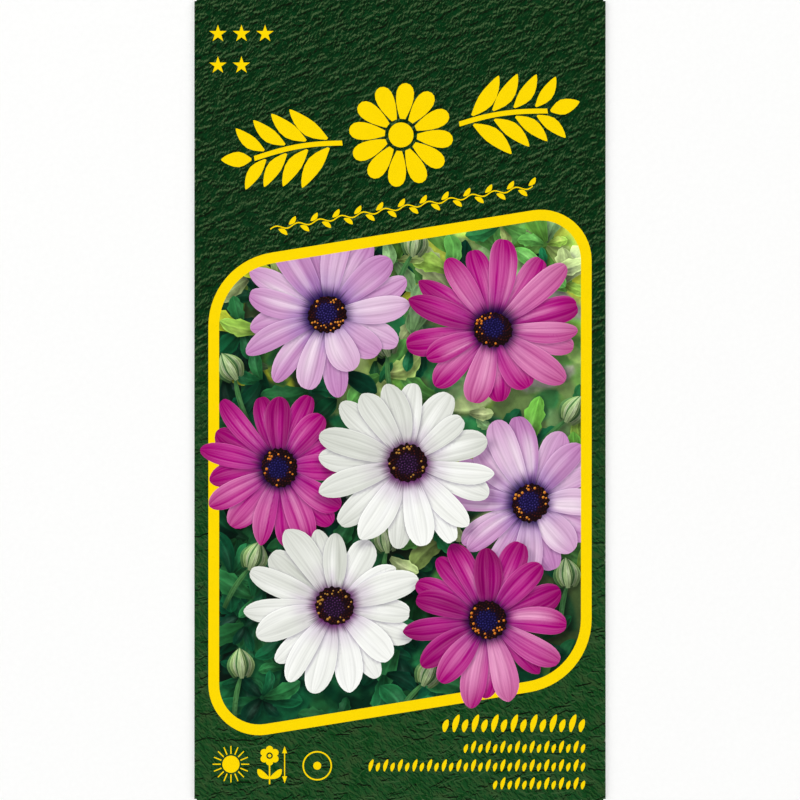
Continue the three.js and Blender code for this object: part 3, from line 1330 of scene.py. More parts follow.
    def shapes(self) -> Iterator[Shape]:
        """Draws the sprigs, from the deepest up, and the buds, without what blooms hide.

        Yields:
            Their shapes.
        """
        draw = np.random.default_rng(self.seed + 1)
        low, high = self.window.min(0), self.window.max(0)
        number, layer = 0, self.LOWEST
        for sprig in range(self.sprigs):
            heart = draw.uniform(low, high)
            depth = sprig / self.sprigs
            start, leaves = draw.uniform(0, 360), int(draw.integers(4, 8))
            for k in range(leaves):
                angle = start + 360 * k / leaves + draw.uniform(-20, 20)
                length = draw.uniform(4.5, 11.0)
                root, tip = heart + heading(angle, 0.4), heart + heading(angle, length)
                girth, bow = length * draw.uniform(0.17, 0.26), draw.uniform(-0.12, 0.12)
                colour = self.green(heart, draw) * draw.uniform(0.7, 1.15) * (0.35 + 0.7 * depth)
                teeth = int(draw.choice([0, 2, 3, 4]))
                number += 1
                if not self.hidden(heart + heading(angle, length * 0.85), 0.84):
                    blade = Blade(root, tip, girth, bow, widest=0.64, waist=0.3, point=1.7, taper=0.7)
                    yield self.leaf(blade, colour, layer + k, number, teeth)
            layer += 10
        for x, y, angle in self.buds:
            yield from self.bud(np.array([x, y]), angle, layer)
            layer += 15

    def hidden(self, place: Points, share: float) -> bool:
        """Tells whether a bloom covers a place."""
        return any(np.linalg.norm(place - np.array(b.middle)) < b.radius * share for b in self.blooms)


@dataclass
class Picture:
    """The picture of daisies in its slanted yellow frame, which some blooms overlap."""

    frame_width: float = 2.15
    slope: float = 9.2  # how far the frame's top and bottom rise to the right
    half_width: float = 38.2
    low: float = -62.4  # where its lower edge crosses the packet's middle
    high: float = 33.5  # where its upper edge does
    radii: tuple[float, ...] = (10.1, 14.8, 10.1, 14.8)  # of its corners, anticlockwise from the lower left

    FRAME_LAYER, GROUND_LAYER = -5000.0, -4000.0  # under the deepest sprig's

    @property
    def blooms(self) -> list[Bloom]:
        """The picture's blooms, from the lowest up."""
        white, lilac, magenta = (kind.value for kind in BloomColour)
        return [
            Bloom((-14.5, 17.0), 18.5, lilac, 115, 22, 17, 11),
            Bloom((26.0, -20.5), 17.5, lilac, 150, 22, 16, 12),
            Bloom((-24.0, -13.5), 17.3, magenta, 195, 24, 17, 13, False),
            Bloom((18.5, 14.0), 19.0, magenta, 80, 28, 17, 14, False),
            Bloom((-13.0, -41.0), 18.5, white, 235, 18, 18, 15),
            Bloom((17.5, -43.8), 17.6, magenta, 215, 18, 17, 16, False),
            Bloom((1.5, -12.5), 18.8, white, 265, 15, 18, 17),
        ]

    def outline(self, inset: float) -> Points:
        """Draws the frame's outer edge, or a line inside it.

        Args:
            inset: how far inside.

        Returns:
            The outline.
        """
        rise = math.tan(math.radians(self.slope))
        lean = inset / math.cos(math.radians(self.slope))
        left, right = -self.half_width + inset, self.half_width - inset
        corners = [(x, self.low + rise * x + lean) for x in (left, right)]
        corners += [(x, self.high + rise * x - lean) for x in (right, left)]
        return rounded(np.array(corners), [radius - inset for radius in self.radii])

    @property
    def window(self) -> Points:
        """The frame's inner edge."""
        return self.outline(self.frame_width)

    def shapes(self) -> Iterator[Shape]:
        """Draws the frame, the foliage and the blooms.

        Yields:
            Their shapes.
        """
        foliage = Foliage(self.window, self.blooms)
        yield Shape(spaced(self.outline(0), 0.8), Ink.YELLOW, self.FRAME_LAYER)
        yield Shape(spaced(self.window, 0.8), Ink.PICTURE, self.GROUND_LAYER, foliage.backdrop(), True)
        yield from foliage.shapes()
        for stack, bloom in enumerate(self.blooms):
            yield from bloom.shapes(stack)


@dataclass
class Ornaments:
    """The flat yellow ornaments round the picture."""

    slope: float  # the picture frame's
    layer: float = 20000.0

    STARS = ((-36.3, 73.0), (-31.6, 73.0), (-26.9, 73.0), (-36.3, 66.7), (-31.6, 66.7))
    GRAINS = (  # for each row its height on the packet, its length, and its grains' height and pitch
        (-64.4, 31.0, 3.5, 1.94),
        (-69.1, 24.9, 2.4, 1.46),
        (-72.8, 45.2, 2.4, 1.46),
        (-76.4, 20.4, 2.4, 1.46),
    )
    RIGHT_MARGIN = 37.0  # where the rows of grains end

    def plain(self, outline: Points, ink: Ink = Ink.YELLOW, above: float = 0.0) -> Shape:
        """Makes an outline a plain shape."""
        return Shape(np.asarray(outline, float), ink, self.layer + above)

    def slanted(self, middle: Points, outline: Points) -> Shape:
        """Places an outline, drawn level round 0, 0, along the slope."""
        return self.plain(middle + turned(outline, self.slope))

    def stars(self) -> Iterator[Shape]:
        """Draws five small stars in the upper left.

        Yields:
            The stars.
        """
        for middle in self.STARS:
            points = [ring(np.array(middle), 1.82, 5, 90), ring(np.array(middle), 0.7, 5, 126)]
            yield self.plain(np.stack(points, axis=1).reshape(-1, 2))

    def garland(self) -> Iterator[Shape]:
        """Draws a large flat daisy between two leafy sprays, rising to the right.

        Yields:
            Its shapes.
        """
        middle = np.array([0.2, 52.8])
        for k in range(12):
            out = 30 * k + 15
            petal = Blade(heading(out, 3.2), heading(out, 10.4), 1.78, widest=0.66, point=2.4, taper=0.5)
            yield self.slanted(middle, petal.outline(9))
        yield self.slanted(middle, ring(np.zeros(2), 2.5, 28))
        across = np.linspace(11.8, 29.6, 12)
        low, high = np.c_[across, self.wave(across) - 0.5], np.c_[across, self.wave(across) + 0.5]
        form = {"waist": 0.14, "point": 1.5, "taper": 0.75}
        last = Blade(np.array([30.2, self.wave(30.2)]), np.array([36.2, 0.9]), 1.55, widest=0.45, **form)
        for side in (-1, 1):
            yield self.slanted(middle, np.r_[low, high[::-1]] * [side, 1])
            for k, x in enumerate(np.linspace(14.6, 27.4, 4)):
                for up in (-1, 1):
                    root = np.array([x, self.wave(x) + up * 0.9])
                    tip = root + heading(up * 47, 9.6 - 0.8 * k)
                    leaf = Blade(root, tip, 1.62 - 0.1 * k, bow=-0.06 * up, widest=0.48, **form)
                    yield self.slanted(middle, leaf.outline(9) * [side, 1])
            yield self.slanted(middle, last.outline(9) * [side, 1])

    def wave(self, x: np.ndarray) -> np.ndarray:
        """The spray's gentle wave over its base line."""
        return np.sin((x - 10.0) / 20.0 * math.pi)

    def vine(self) -> Iterator[Shape]:
        """Draws a thin vine of leaflets between the garland and the frame.

        Yields:
            Its shapes.
        """
        length, pitch = 53.0, 2.2
        middle = np.array([0.3, 38.3])
        across = np.linspace(-length / 2, length / 2, 110)
        line = 0.38 * np.sin(across * math.pi / pitch)
        low, high = np.c_[across, line - 0.13], np.c_[across, line + 0.13]
        yield self.slanted(middle, np.r_[low, high[::-1]])
        for k in range(int(length / pitch)):
            up = 1 if k % 2 else -1
            root = np.array([-length / 2 + pitch * (k + 0.75), up * 0.3])
            tip = root + heading(up * 42, 2.1)
            leaf = Blade(root, tip, 0.5, bow=-0.08 * up, widest=0.5, waist=0.2, point=1.6, taper=0.7)
            yield self.slanted(middle, leaf.outline(6))

    def grains(self) -> Iterator[Shape]:
        """Draws four rows of slanting grains in the lower right, every second one small.

        Yields:
            Its shapes.
        """
        lean, small = 0.3, 0.72  # how far a grain leans, and how high every second one is, in grains' heights
        for base, length, height, pitch in self.GRAINS:
            for k in range(int(length / pitch)):
                root = np.array([self.RIGHT_MARGIN - k * pitch - height * lean, base - height * 0.5])
                tip = root + np.array([height * lean, height]) * (1.0 if k % 2 else small)
                yield self.plain(Blade(root, tip, height * 0.17, bow=0.05, widest=0.5, point=1.7).outline(7))

    def sun(self) -> Iterator[Shape]:
        """Draws a sun: it likes light.

        Yields:
            Its disc and its rays.
        """
        middle = np.array([-33.7, -72.6])
        yield self.plain(ring(middle, 1.72, 28))
        for k in range(16):
            out, aside = heading(22.5 * k), heading(22.5 * k + 90, 0.13)
            ends = ((2.05, -1), (3.65, -0.8), (3.65, 0.8), (2.05, 1))
            yield self.plain([middle + out * r + aside * w for r, w in ends])

    def height(self) -> Iterator[Shape]:
        """Draws a flower beside an arrow: how tall it grows.

        Yields:
            Its shapes.
        """
        head = np.array([-26.0, -70.9])
        for k in range(6):
            petal = Blade(head, head + heading(60 * k + 30, 2.0), 0.74, widest=0.66, waist=0.5)
            yield self.plain(petal.outline(7), above=k * 0.1)
        yield self.plain(ring(head, 0.66, 16), Ink.GROUND, 2)
        yield self.plain(ring(head, 0.36, 12), above=3)
        yield self.plain([(-26.15, -76.6), (-25.85, -76.6), (-25.85, -72.7), (-26.15, -72.7)])
        for side in (-1, 1):
            root = np.array([-26.0 + side * 0.1, -75.4])
            leaf = Blade(root, root + np.array([side * 2.3, 1.8]), 0.66, bow=-side * 0.1, widest=0.55)
            yield self.plain(leaf.outline(7))
        yield self.plain([(-23.11, -75.7), (-22.89, -75.7), (-22.89, -69.8), (-23.11, -69.8)])
        for tip, back in ((-69.0, -70.4), (-76.4, -75.0)):
            yield self.plain([(-23.0, tip), (-23.5, back), (-22.5, back)])

    def spacing(self) -> Iterator[Shape]:
        """Draws a ring round a dot: how far apart it is sown.

        Yields:
            The ring, the ground inside it and the dot.
        """
        middle = np.array([-16.5, -72.9])
        for radius, ink, above in ((2.95, Ink.YELLOW, 0), (2.65, Ink.GROUND, 1), (0.8, Ink.YELLOW, 2)):
            yield self.plain(ring(middle, radius, 40), ink, above)

    def shapes(self) -> Iterator[Shape]:
        """Draws all the ornaments."""
        for part in (self.stars, self.garland, self.vine, self.grains, self.sun, self.height, self.spacing):
            yield from part()


@dataclass
class BackPrint:
    """A pale panel on the back, with a sowing calendar, ruled lines for notes and two daisies."""

    blank: "Blank"
    gap: float = 0.03  # the ground that shows at the edge of the lap

    PANEL = ((-33.0, 33.0), (-57.0, 54.0))  # its lowest and highest x and y
    MONTHS = 12
    CALENDAR = ((28.0, (2, 3, 4)), (22.4, (5, 6, 7, 8, 9)))  # each row's lower edge and its dark months
    RULES = 9
    PRINTED, OVERPRINTED, TOPMOST = 10, 11, 12  # layers

    def on_flap(self, sign: int, outline: Points, ink: Ink, layer: float) -> Shape:
        """Places an outline, in x and y as seen through the front, on the right (1) or left (-1) flap."""
        return Shape(outline * [-1, 1] + [sign * self.blank.back_reach, 0], ink, layer)

    def box(
        self, x: tuple[float, float], y: tuple[float, float], ink: Ink, layer: float
    ) -> Iterator[Shape]:
        """Prints a box on both flaps, each as far as the flap reaches.

        Args:
            x: its lowest and highest x.
            y: its lowest and highest y.
            ink: what it is printed with.
            layer: its layer.

        Yields:
            The box on each flap that it reaches.
        """
        edge = self.blank.lap / 2 - self.gap
        for sign in (-1, 1):
            near, far = (max(x[0], -edge), x[1]) if sign > 0 else (x[0], min(x[1], edge))
            if near < far:
                corners = np.array([(near, y[0]), (far, y[0]), (far, y[1]), (near, y[1])])
                yield self.on_flap(sign, spaced(corners, 4.0), ink, layer)

    def shapes(self) -> Iterator[Shape]:
        """Draws the back.

        Yields:
            Its shapes.
        """
        yield from self.box(*self.PANEL, Ink.PANEL, self.PRINTED)
        for month in range(self.MONTHS):
            left = -30.0 + 5.0 * month
            for base, dark in self.CALENDAR:
                ink = Ink.GROUND if month in dark else Ink.YELLOW
                yield from self.box((left + 0.3, left + 4.7), (base, base + 4.0), ink, self.OVERPRINTED)
        for k in range(self.RULES):
            line = (11.0 - 7.5 * k, 11.25 - 7.5 * k)
            yield from self.box((-30.0, 30.0), line, Ink.GROUND, self.OVERPRINTED)
        for sign in (-1, 1):
            middle = np.array([19.0 * sign, 43.0])
            for k in range(12):
                ends = middle + heading(30 * k, 2.1), middle + heading(30 * k, 7.0)
                petal = Blade(*ends, half_width=1.3, widest=0.62, waist=0.36)
                yield self.on_flap(sign, petal.outline(8), Ink.GROUND, self.OVERPRINTED)
            yield self.on_flap(sign, ring(middle, 1.7, 24), Ink.YELLOW, self.TOPMOST)


@dataclass
class Artwork:
    """The whole print on the blank: what is printed where."""

    blank: "Blank"
    picture: Picture = field(default_factory=Picture)
    shapes: list[Shape] = field(default_factory=list)
    fine: float = 0.5  # how close together corners lie in the picture
    shade_reach: float = 6.0  # how far from a petal or leaf its shade may fall

    INK = "ink"  # the colour attribute
    PLACE = "place"  # the UV map with each petal's or leaf's own places
    PITCH = 4.0  # how far apart the petals' places lie along that map
    GLOW = linear("#8a76a6") * 0.6  # a shade in the picture stays a little violet

    def __post_init__(self) -> None:
        """Draws every shape, and notes where those are that cast a shade."""
        for part in (self.picture, Ornaments(self.picture.slope), BackPrint(self.blank)):
            self.shapes += list(part.shapes())
        self.casters = [shape.caster for shape in self.shapes if shape.caster]
        self.reach = np.array([[c.blade.root, c.blade.tip] for c in self.casters])
        self.layers = np.array([c.layer for c in self.casters])
        log.info("print: %d shapes, %d of them cast a shade", len(self.shapes), len(self.casters))

    def refinement(self) -> Points:
        """Scatters points between the outlines, close together in the picture, where shades run smoothly.

        Returns:
            The points.
        """
        draw = np.random.default_rng(3)
        fine = scattered(self.picture.outline(0.3), self.fine, draw)
        around = scattered(self.blank.corners, self.blank.coarse, draw, self.picture.outline(-0.5))
        return np.vstack([fine, around])

    def light(self, shape: Shape, points: Points) -> np.ndarray:
        """Finds how much light reaches points of a shape past what lies over it.

        Args:
            shape: the shape.
            points: points in it.

        Returns:
            A share for each point.
        """
        low, high = points.min(0) - self.shade_reach, points.max(0) + self.shade_reach
        over = (self.reach.min(1) < high) & (self.reach.max(1) > low)
        near = (over.all(1) & (self.layers > shape.layer)).nonzero()[0]
        dark: dict[int, np.ndarray] = {}
        for caster in (self.casters[k] for k in near):
            shade = caster.darkness(points, shape.stack)
            dark[caster.stack] = np.maximum(dark.get(caster.stack, 0), shade)
        light = np.ones(len(points))
        for shade in dark.values():
            light *= 1 - shade
        return light

    def paint(self, flat: Points, triangles: np.ndarray) -> tuple[np.ndarray, np.ndarray, np.ndarray]:
        """Finds what each triangle of the blank is printed with.

        Args:
            flat: the corners on the blank.
            triangles: three corner numbers for each triangle.

        Returns:
            Each triangle's ink, and each of its corners' colour with its side light, and own place.
        """
        middles = flat[triangles].mean(axis=1)
        window = inside(middles, self.picture.window)
        top = np.full(len(triangles), -1)
        for k in sorted(range(len(self.shapes)), key=lambda k: self.shapes[k].layer):
            covered = inside(middles, self.shapes[k].outline)
            top[covered & window if self.shapes[k].windowed else covered] = k
        inks = np.full(len(triangles), int(Ink.GROUND))
        colours = np.zeros((len(triangles), 3, 4))
        places = np.zeros((len(triangles), 3, 2))
        for k, shape in enumerate(self.shapes):
            mine = top == k
            inks[mine] = int(shape.ink)
            if shape.tint is None or not mine.any():
                continue
            corners, back = np.unique(triangles[mine], return_inverse=True)
            colour, place = shape.tint(flat[corners])
            if shape.shaded:
                light = self.light(shape, flat[corners])[:, None]
                colour[:, :3] *= light + (1 - light) * self.GLOW
            colours[mine] = colour[back].reshape(-1, 3, 4)
            places[mine] = place[back].reshape(-1, 3, 2)
        return inks, colours, places


# --- The envelope ---


@dataclass(frozen=True)
class Dent:
    """A soft dent in the front."""

    middle: tuple[float, float]
    direction: float  # of its length
    length: float
    girth: float
    depth: float

    def at(self, x: np.ndarray, y: np.ndarray) -> np.ndarray:
        """How deep it is at places on the front."""
        place = turned(np.c_[x - self.middle[0], y - self.middle[1]], -self.direction)
        return self.depth * np.exp(-((place[:, 0] / self.length) ** 2) - (place[:, 1] / self.girth) ** 2)


@dataclass(frozen=True)
class Blank:
    """The envelope's one piece of paper, flat and folded."""

    width: float
    height: float
    paper: float = 0.15
    ply_gap: float = 0.14  # a line of glue with its clearances
    slip: float = 0.05
    rise: float = 3.3  # how far the sachet lifts the middle of the front
    lap: float = 10.0
    joggle: float = 2.5
    bottom_flap: float = 16.0
    top_flap: float = 20.0
    flap_inset: float = 1.0  # how far the end flaps keep in from the sides
    flap_taper: float = 3.5  # how far each side of them draws in towards their ends
    fold_steps: int = 8
    coarse: float = 2.6  # how far apart corners lie where it is plain
    sachet: tuple[float, float, float] = (29.0, 44.0, -8.0)  # half its sides, and the y of its middle
    sachet_step: float = 0.14  # how much higher the front stands over the sachet than beside it
    sachet_run: float = 1.5  # how far either way of the sachet's edge that step takes
    dents: tuple[Dent, ...] = (
        Dent((-25, 46), 118, 16, 2.6, 0.2),
        Dent((27, 44), 62, 15, 2.4, 0.18),
        Dent((-28, -58), 235, 14, 2.4, 0.2),
        Dent((26, -60), 300, 14, 2.5, 0.18),
        Dent((-33, 8), 84, 26, 1.6, 0.1),
        Dent((33, -18), 96, 24, 1.6, 0.1),
        Dent((2, 62), 8, 22, 2.2, 0.09),
    )

    @property
    def back_level(self) -> float:
        """The lower face of both back flaps."""
        return self.paper + self.ply_gap

    @property
    def lapped_level(self) -> float:
        """The lower face of the right back flap where it lies over the left one."""
        return self.back_level + self.paper + self.ply_gap

    @property
    def front_top(self) -> float:
        """The front's outer face at its edges."""
        return self.lapped_level + self.paper + self.slip + self.paper

    @property
    def side_fold(self) -> float:
        """The side folds' outer radius."""
        return (self.front_top - self.back_level) / 2

    @property
    def end_fold(self) -> float:
        """The end folds' outer radius."""
        return self.front_top / 2

    @property
    def side_line(self) -> float:
        """Where the front ends at its sides."""
        return self.width / 2 - self.side_fold

    @property
    def end_line(self) -> float:
        """Where the front ends at its top and bottom."""
        return self.height / 2 - self.end_fold

    @property
    def back_reach(self) -> float:
        """How far across the blank the middle of the back lies from the middle of the front."""
        return 2 * self.side_line + math.pi * self.side_fold

    @property
    def flap_shoulder(self) -> float:
        """Half the width of the end flaps where their folds begin."""
        return self.side_line - 0.1

    @property
    def corners(self) -> Points:
        """The flat blank's corners alone."""
        return self.outline(math.inf)

    def outline(self, step: float = 1.6) -> Points:
        """Draws the blank's edge.

        Args:
            step: how far apart its points may lie.

        Returns:
            The outline, anticlockwise.
        """
        side, end, inner = self.back_reach + self.lap / 2, self.end_line, self.width / 2 - self.flap_inset
        narrow = inner * (1 - self.flap_taper / (self.width / 2))
        past = end + math.pi * self.end_fold
        low, high = past + self.bottom_flap - self.end_fold, past + self.top_flap - self.end_fold
        right = [(narrow, -low), (inner, -past), (self.flap_shoulder, -end), (side, -end)]
        right += [(side, end), (self.flap_shoulder, end), (inner, past), (narrow, high)]
        return spaced(np.array(right + [(-x, y) for x, y in reversed(right)]), step)

    def creases(self) -> Iterator[Points]:
        """Gives the straight lines across which the blank bends.

        Yields:
            Points along each line.
        """
        for share in np.linspace(0, math.pi, self.fold_steps + 1):
            for sign in (-1, 1):
                s = sign * (self.side_line + share * self.side_fold)
                yield spaced([(s, -self.end_line), (s, self.end_line)], 4.0, False)
                t = sign * (self.end_line + share * self.end_fold)
                yield spaced([(-self.flap_shoulder, t), (self.flap_shoulder, t)], 4.0, False)
        for share in np.linspace(0, 1, 5):
            s = self.back_reach - self.lap / 2 - self.joggle * share
            yield spaced([(s, -self.end_line), (s, self.end_line)], 8.0, False)

    def lift(self, x: np.ndarray, y: np.ndarray) -> np.ndarray:
        """Finds how far the front stands over its edges: the sachet's bulge, less the dents that paper gets.

        Args:
            x: places across the front.
            y: places up the front.

        Returns:
            Millimetres for each place.
        """
        bulge = self.rise * swell(x / self.side_line, 3, 1.5) * swell(y / self.end_line, 3.5, 1.5)
        half_across, half_up, middle_y = self.sachet
        run = self.sachet_run
        past_side = eased(np.abs(x), half_across - run, half_across + run)
        past_end = eased(np.abs(y - middle_y), half_up - run, half_up + run)
        dents = self.sachet_step * ((1 - past_side) * (1 - past_end) - 1)
        for dent in self.dents:
            dents -= dent.at(x, y)
        return bulge + dents * swell(x / self.side_line, 6, 1) * swell(y / self.end_line, 6, 1)

    def fold(self, flat: Points, inward: np.ndarray) -> np.ndarray:
        """Folds points of the blank to where they are on the packet.

        Args:
            flat: places on the flat blank.
            inward: how deep each is under the printed face.

        Returns:
            Rows of x, y and z.
        """
        nearly = 1e-4
        s, t = flat[:, 0], flat[:, 1]
        x, y, z = s.copy(), t.copy(), self.front_top - inward + self.lift(s, t)
        aside = np.abs(s) - self.side_line
        bent = aside > nearly
        angle, past = np.clip(aside / self.side_fold, 0, math.pi), aside - math.pi * self.side_fold
        across = self.side_line + (self.side_fold - inward) * np.sin(angle) - np.maximum(past, 0)
        lap_line = self.side_line - self.lap / 2
        lapped = eased(past, lap_line - self.joggle, lap_line) * (s > 0)
        lapped = lapped * (self.lapped_level - self.back_level)
        height = self.back_level + self.side_fold + (self.side_fold - inward) * np.cos(angle) + lapped
        x[bent], z[bent] = (np.sign(s) * across)[bent], height[bent]
        above = np.abs(t) - self.end_line
        bent = above > nearly
        angle, past = np.clip(above / self.end_fold, 0, math.pi), above - math.pi * self.end_fold
        upward = self.end_line + (self.end_fold - inward) * np.sin(angle) - np.maximum(past, 0)
        height = self.end_fold + (self.end_fold - inward) * np.cos(angle)
        y[bent], z[bent] = (np.sign(t) * upward)[bent], height[bent]
        return np.c_[x, y, z]


def partition(
    lines: Iterable[tuple[Points, bool]], loose: Points, outline: Points
) -> tuple[Points, np.ndarray]:
    """Splits the blank into triangles that keep every line.

    Args:
        lines: the lines, each with whether it is closed.
        loose: further corners.
        outline: the blank's edge.

    Returns:
        The corners that are used, and three corner numbers for each triangle.
    """
    too_near = 0.004  # millimetres within which two corners become one
    rows: list[Points] = []
    edges: list[tuple[int, int]] = []
    count = 0
    for line, closed in lines:
        size = len(line)
        edges += [(count + k, count + (k + 1) % size) for k in range(size if closed else size - 1)]
        rows.append(line)
        count += size
    corners = [Vector(row) for row in np.vstack([*rows, loose]).tolist()]
    made = delaunay_2d_cdt(corners, edges, [], 0, too_near, False)
    flat = np.array([tuple(v) for v in made[0]])
    triangles = np.array(made[2])
    kept = triangles[inside(flat[triangles].mean(axis=1), outline)]
    used, numbers = np.unique(kept, return_inverse=True)
    return flat[used], numbers.reshape(-1, 3)


@dataclass
class Envelope:
    """The printed envelope."""

    name: str = "printed_envelope"
    node: str = "envelope"
    slot: str = "printed_paper"

    def build(self) -> bpy.types.Object:
        """Prints the blank, folds it and stands it for the CAD envelope.

        Returns:
            The envelope.
        """
        low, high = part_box(self.node)
        blank = Blank((high.x - low.x) / MM, (high.y - low.y) / MM)
        artwork = Artwork(blank)
        paper_lines = [(blank.outline(), True), *((crease, False) for crease in blank.creases())]
        prints = [(shape.outline, True) for shape in artwork.shapes]
        flat, triangles = partition(paper_lines + prints, artwork.refinement(), blank.outline())
        sheet = self.printed_face(flat, triangles, *artwork.paint(flat, triangles))
        plain = scattered(blank.corners, blank.coarse, np.random.default_rng(4))
        self.add_inside(sheet, *partition(paper_lines, plain, blank.outline()))
        self.fold(sheet, blank)
        for finish in (
            GroundInk(),
            SpotInk("yellow_spot_ink_on_coated_paper"),
            PictureInk(),
            PetalInk(),
            LeafInk(),
            SpotInk("cream_ink_on_coated_paper", shade="#efe8cf", thin="#e8dfc2"),
            BarePaper(),
        ):
            sheet.materials.append(finish.dressed())
        return placed(sheet, self.node, self.slot)

    def printed_face(
        self, flat: Points, triangles: np.ndarray, inks: np.ndarray, colours: np.ndarray, places: np.ndarray
    ) -> bpy.types.Mesh:
        """Makes the printed face a flat mesh.

        Args:
            flat: the corners on the flat blank.
            triangles: three corner numbers for each triangle.
            inks: each triangle's ink.
            colours: each triangle's three corner colours.
            places: each triangle's three corner places.

        Returns:
            The mesh.
        """
        mesh = bpy.data.meshes.new(self.name)
        mesh.from_pydata(np.c_[flat, np.zeros(len(flat))].tolist(), [], triangles.tolist())
        mesh.polygons.foreach_set("material_index", inks.astype(np.int32))
        ink = mesh.attributes.new(Artwork.INK, "FLOAT_COLOR", "CORNER")
        ink.data.foreach_set("color", colours.astype(np.float32).ravel())
        place = mesh.uv_layers.new(name=Artwork.PLACE)
        place.uv.foreach_set("vector", places.astype(np.float32).ravel())
        return mesh

    def add_inside(self, mesh: bpy.types.Mesh, flat: Points, triangles: np.ndarray) -> None:
        """Adds the bare inner face and the cut edge.

        Args:
            mesh: the printed face, at z = 0. The inner face lies at z = -1.
            flat: the inner face's corners.
            triangles: its triangles.
        """
        sheet = bmesh.new()
        sheet.from_mesh(mesh)
        corners = [sheet.verts.new((x, y, -1.0)) for x, y in flat.tolist()]
        inner = [sheet.faces.new([corners[k] for k in reversed(row)]) for row in triangles.tolist()]
        edges = [edge for edge in sheet.edges if edge.is_boundary]
        rim = bmesh.ops.bridge_loops(sheet, edges=edges)["faces"]
        for face in sheet.faces:
            face.smooth = True
        for face in inner + rim:
            face.material_index = int(Ink.BARE)
        for edge in {edge for face in rim for edge in face.edges}:
            edge.smooth = False
        bmesh.ops.recalc_face_normals(sheet, faces=sheet.faces[:])
        sheet.to_mesh(mesh)
        sheet.free()

    def fold(self, mesh: bpy.types.Mesh, blank: Blank) -> None:
        """Folds the flat sheet and scales it to metres.

        Args:
            mesh: the sheet, which is folded in place.
            blank: how it folds.
        """
        flat = np.zeros(len(mesh.vertices) * 3, np.float32)
        mesh.vertices.foreach_get("co", flat)
        rows = flat.reshape(-1, 3).astype(float)
        folded = blank.fold(rows[:, :2], -rows[:, 2] * blank.paper) * MM
        mesh.vertices.foreach_set("co", folded.astype(np.float32).ravel())
        mesh.update()


# --- What the envelope holds ---


def placed(mesh: bpy.types.Mesh, node: str, slot: str) -> bpy.types.Object:
    """Makes a finished mesh a piece of the packet.

    Args:
        mesh: the mesh, in metres and in place.
        node: the CAD node that it stands for.
        slot: the record's material slot; not used.

    Returns:
        The piece.
    """
    piece = bpy.data.objects.new(mesh.name, mesh)
    bpy.context.scene.collection.objects.link(piece)
    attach(piece, BODY)
    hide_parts(node)
    log.info("%s: %d faces, for %s", piece.name, len(mesh.polygons), node)
    return piece


def smooth_mesh(shape: bmesh.types.BMesh, name: str, finish: bpy.types.Material) -> bpy.types.Mesh:
    """Makes a bmesh a smooth-shaded mesh of one finish.

    Args:
        shape: the shape, in metres. It is freed.
        name: the mesh's name.
        finish: its material.

    Returns:
        The mesh.
    """
    mesh = bpy.data.meshes.new(name)
    for face in shape.faces:
        face.smooth = True
    shape.to_mesh(mesh)
    shape.free()
    mesh.materials.append(finish)
    return mesh


@dataclass
class Sachet:
    """The foil sachet: two webs, sealed together round the seeds."""

    seal: float = 5.0
    foil: float = 0.1
    cell: float = 1.0
    # For each kind of dent its depth, how many there are to a millimetre in x and in y, and its pattern.
    dents: tuple[tuple[float, ...], ...] = ((0.07, 0.21, 0.17, 2.0), (0.025, 0.6, 0.5, 7.0))
    slot: str = "foil_laminate"

    def build(self) -> None:
        """Builds both webs."""
        for side, bulge in (("back", 0.0), ("front", 1.0)):
            self.web(f"sachet_{side}_web", f"foil_{side}_web", bulge)

    def web(self, node: str, name: str, bulge: float) -> None:
        """Builds one web where its CAD node is.

        Args:
            node: the CAD node that it stands for.
            name: the piece's name.
            bulge: 1 if the web bulges over the seeds, and 0 if it lies flat.
        """
        low, high = (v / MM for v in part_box(node))
        size, middle = high - low, (high + low) / 2
        sheet = bmesh.new()
        across, up = (int(v / self.cell) for v in size[:2])
        bmesh.ops.create_grid(sheet, x_segments=across, y_segments=up, size=0.5)
        pocket = (size.x / 2 - self.seal, size.y / 2 - self.seal)
        height = size.z - self.foil
        for vert in sheet.verts:
            x, y = vert.co.x * size.x, vert.co.y * size.y
            full = float(swell(np.array(x / pocket[0]), 4, 1.2) * swell(np.array(y / pocket[1]), 4, 1.2))
            dents = 0.0
            for depth, per_x, per_y, pattern in self.dents:
                dents += depth * (1 + noise.noise(Vector((x * per_x, y * per_y, pattern))))
            z = high.z + height * (full - 1) - dents * full * bulge
            vert.co = Vector((middle.x + x, middle.y + y, z))
        bmesh.ops.solidify(sheet, geom=sheet.faces[:], thickness=self.foil)
        bmesh.ops.recalc_face_normals(sheet, faces=sheet.faces[:])
        bmesh.ops.scale(sheet, vec=(MM, MM, MM), verts=sheet.verts[:])
        placed(smooth_mesh(sheet, name, FoilLaminate().dressed()), node, self.slot)


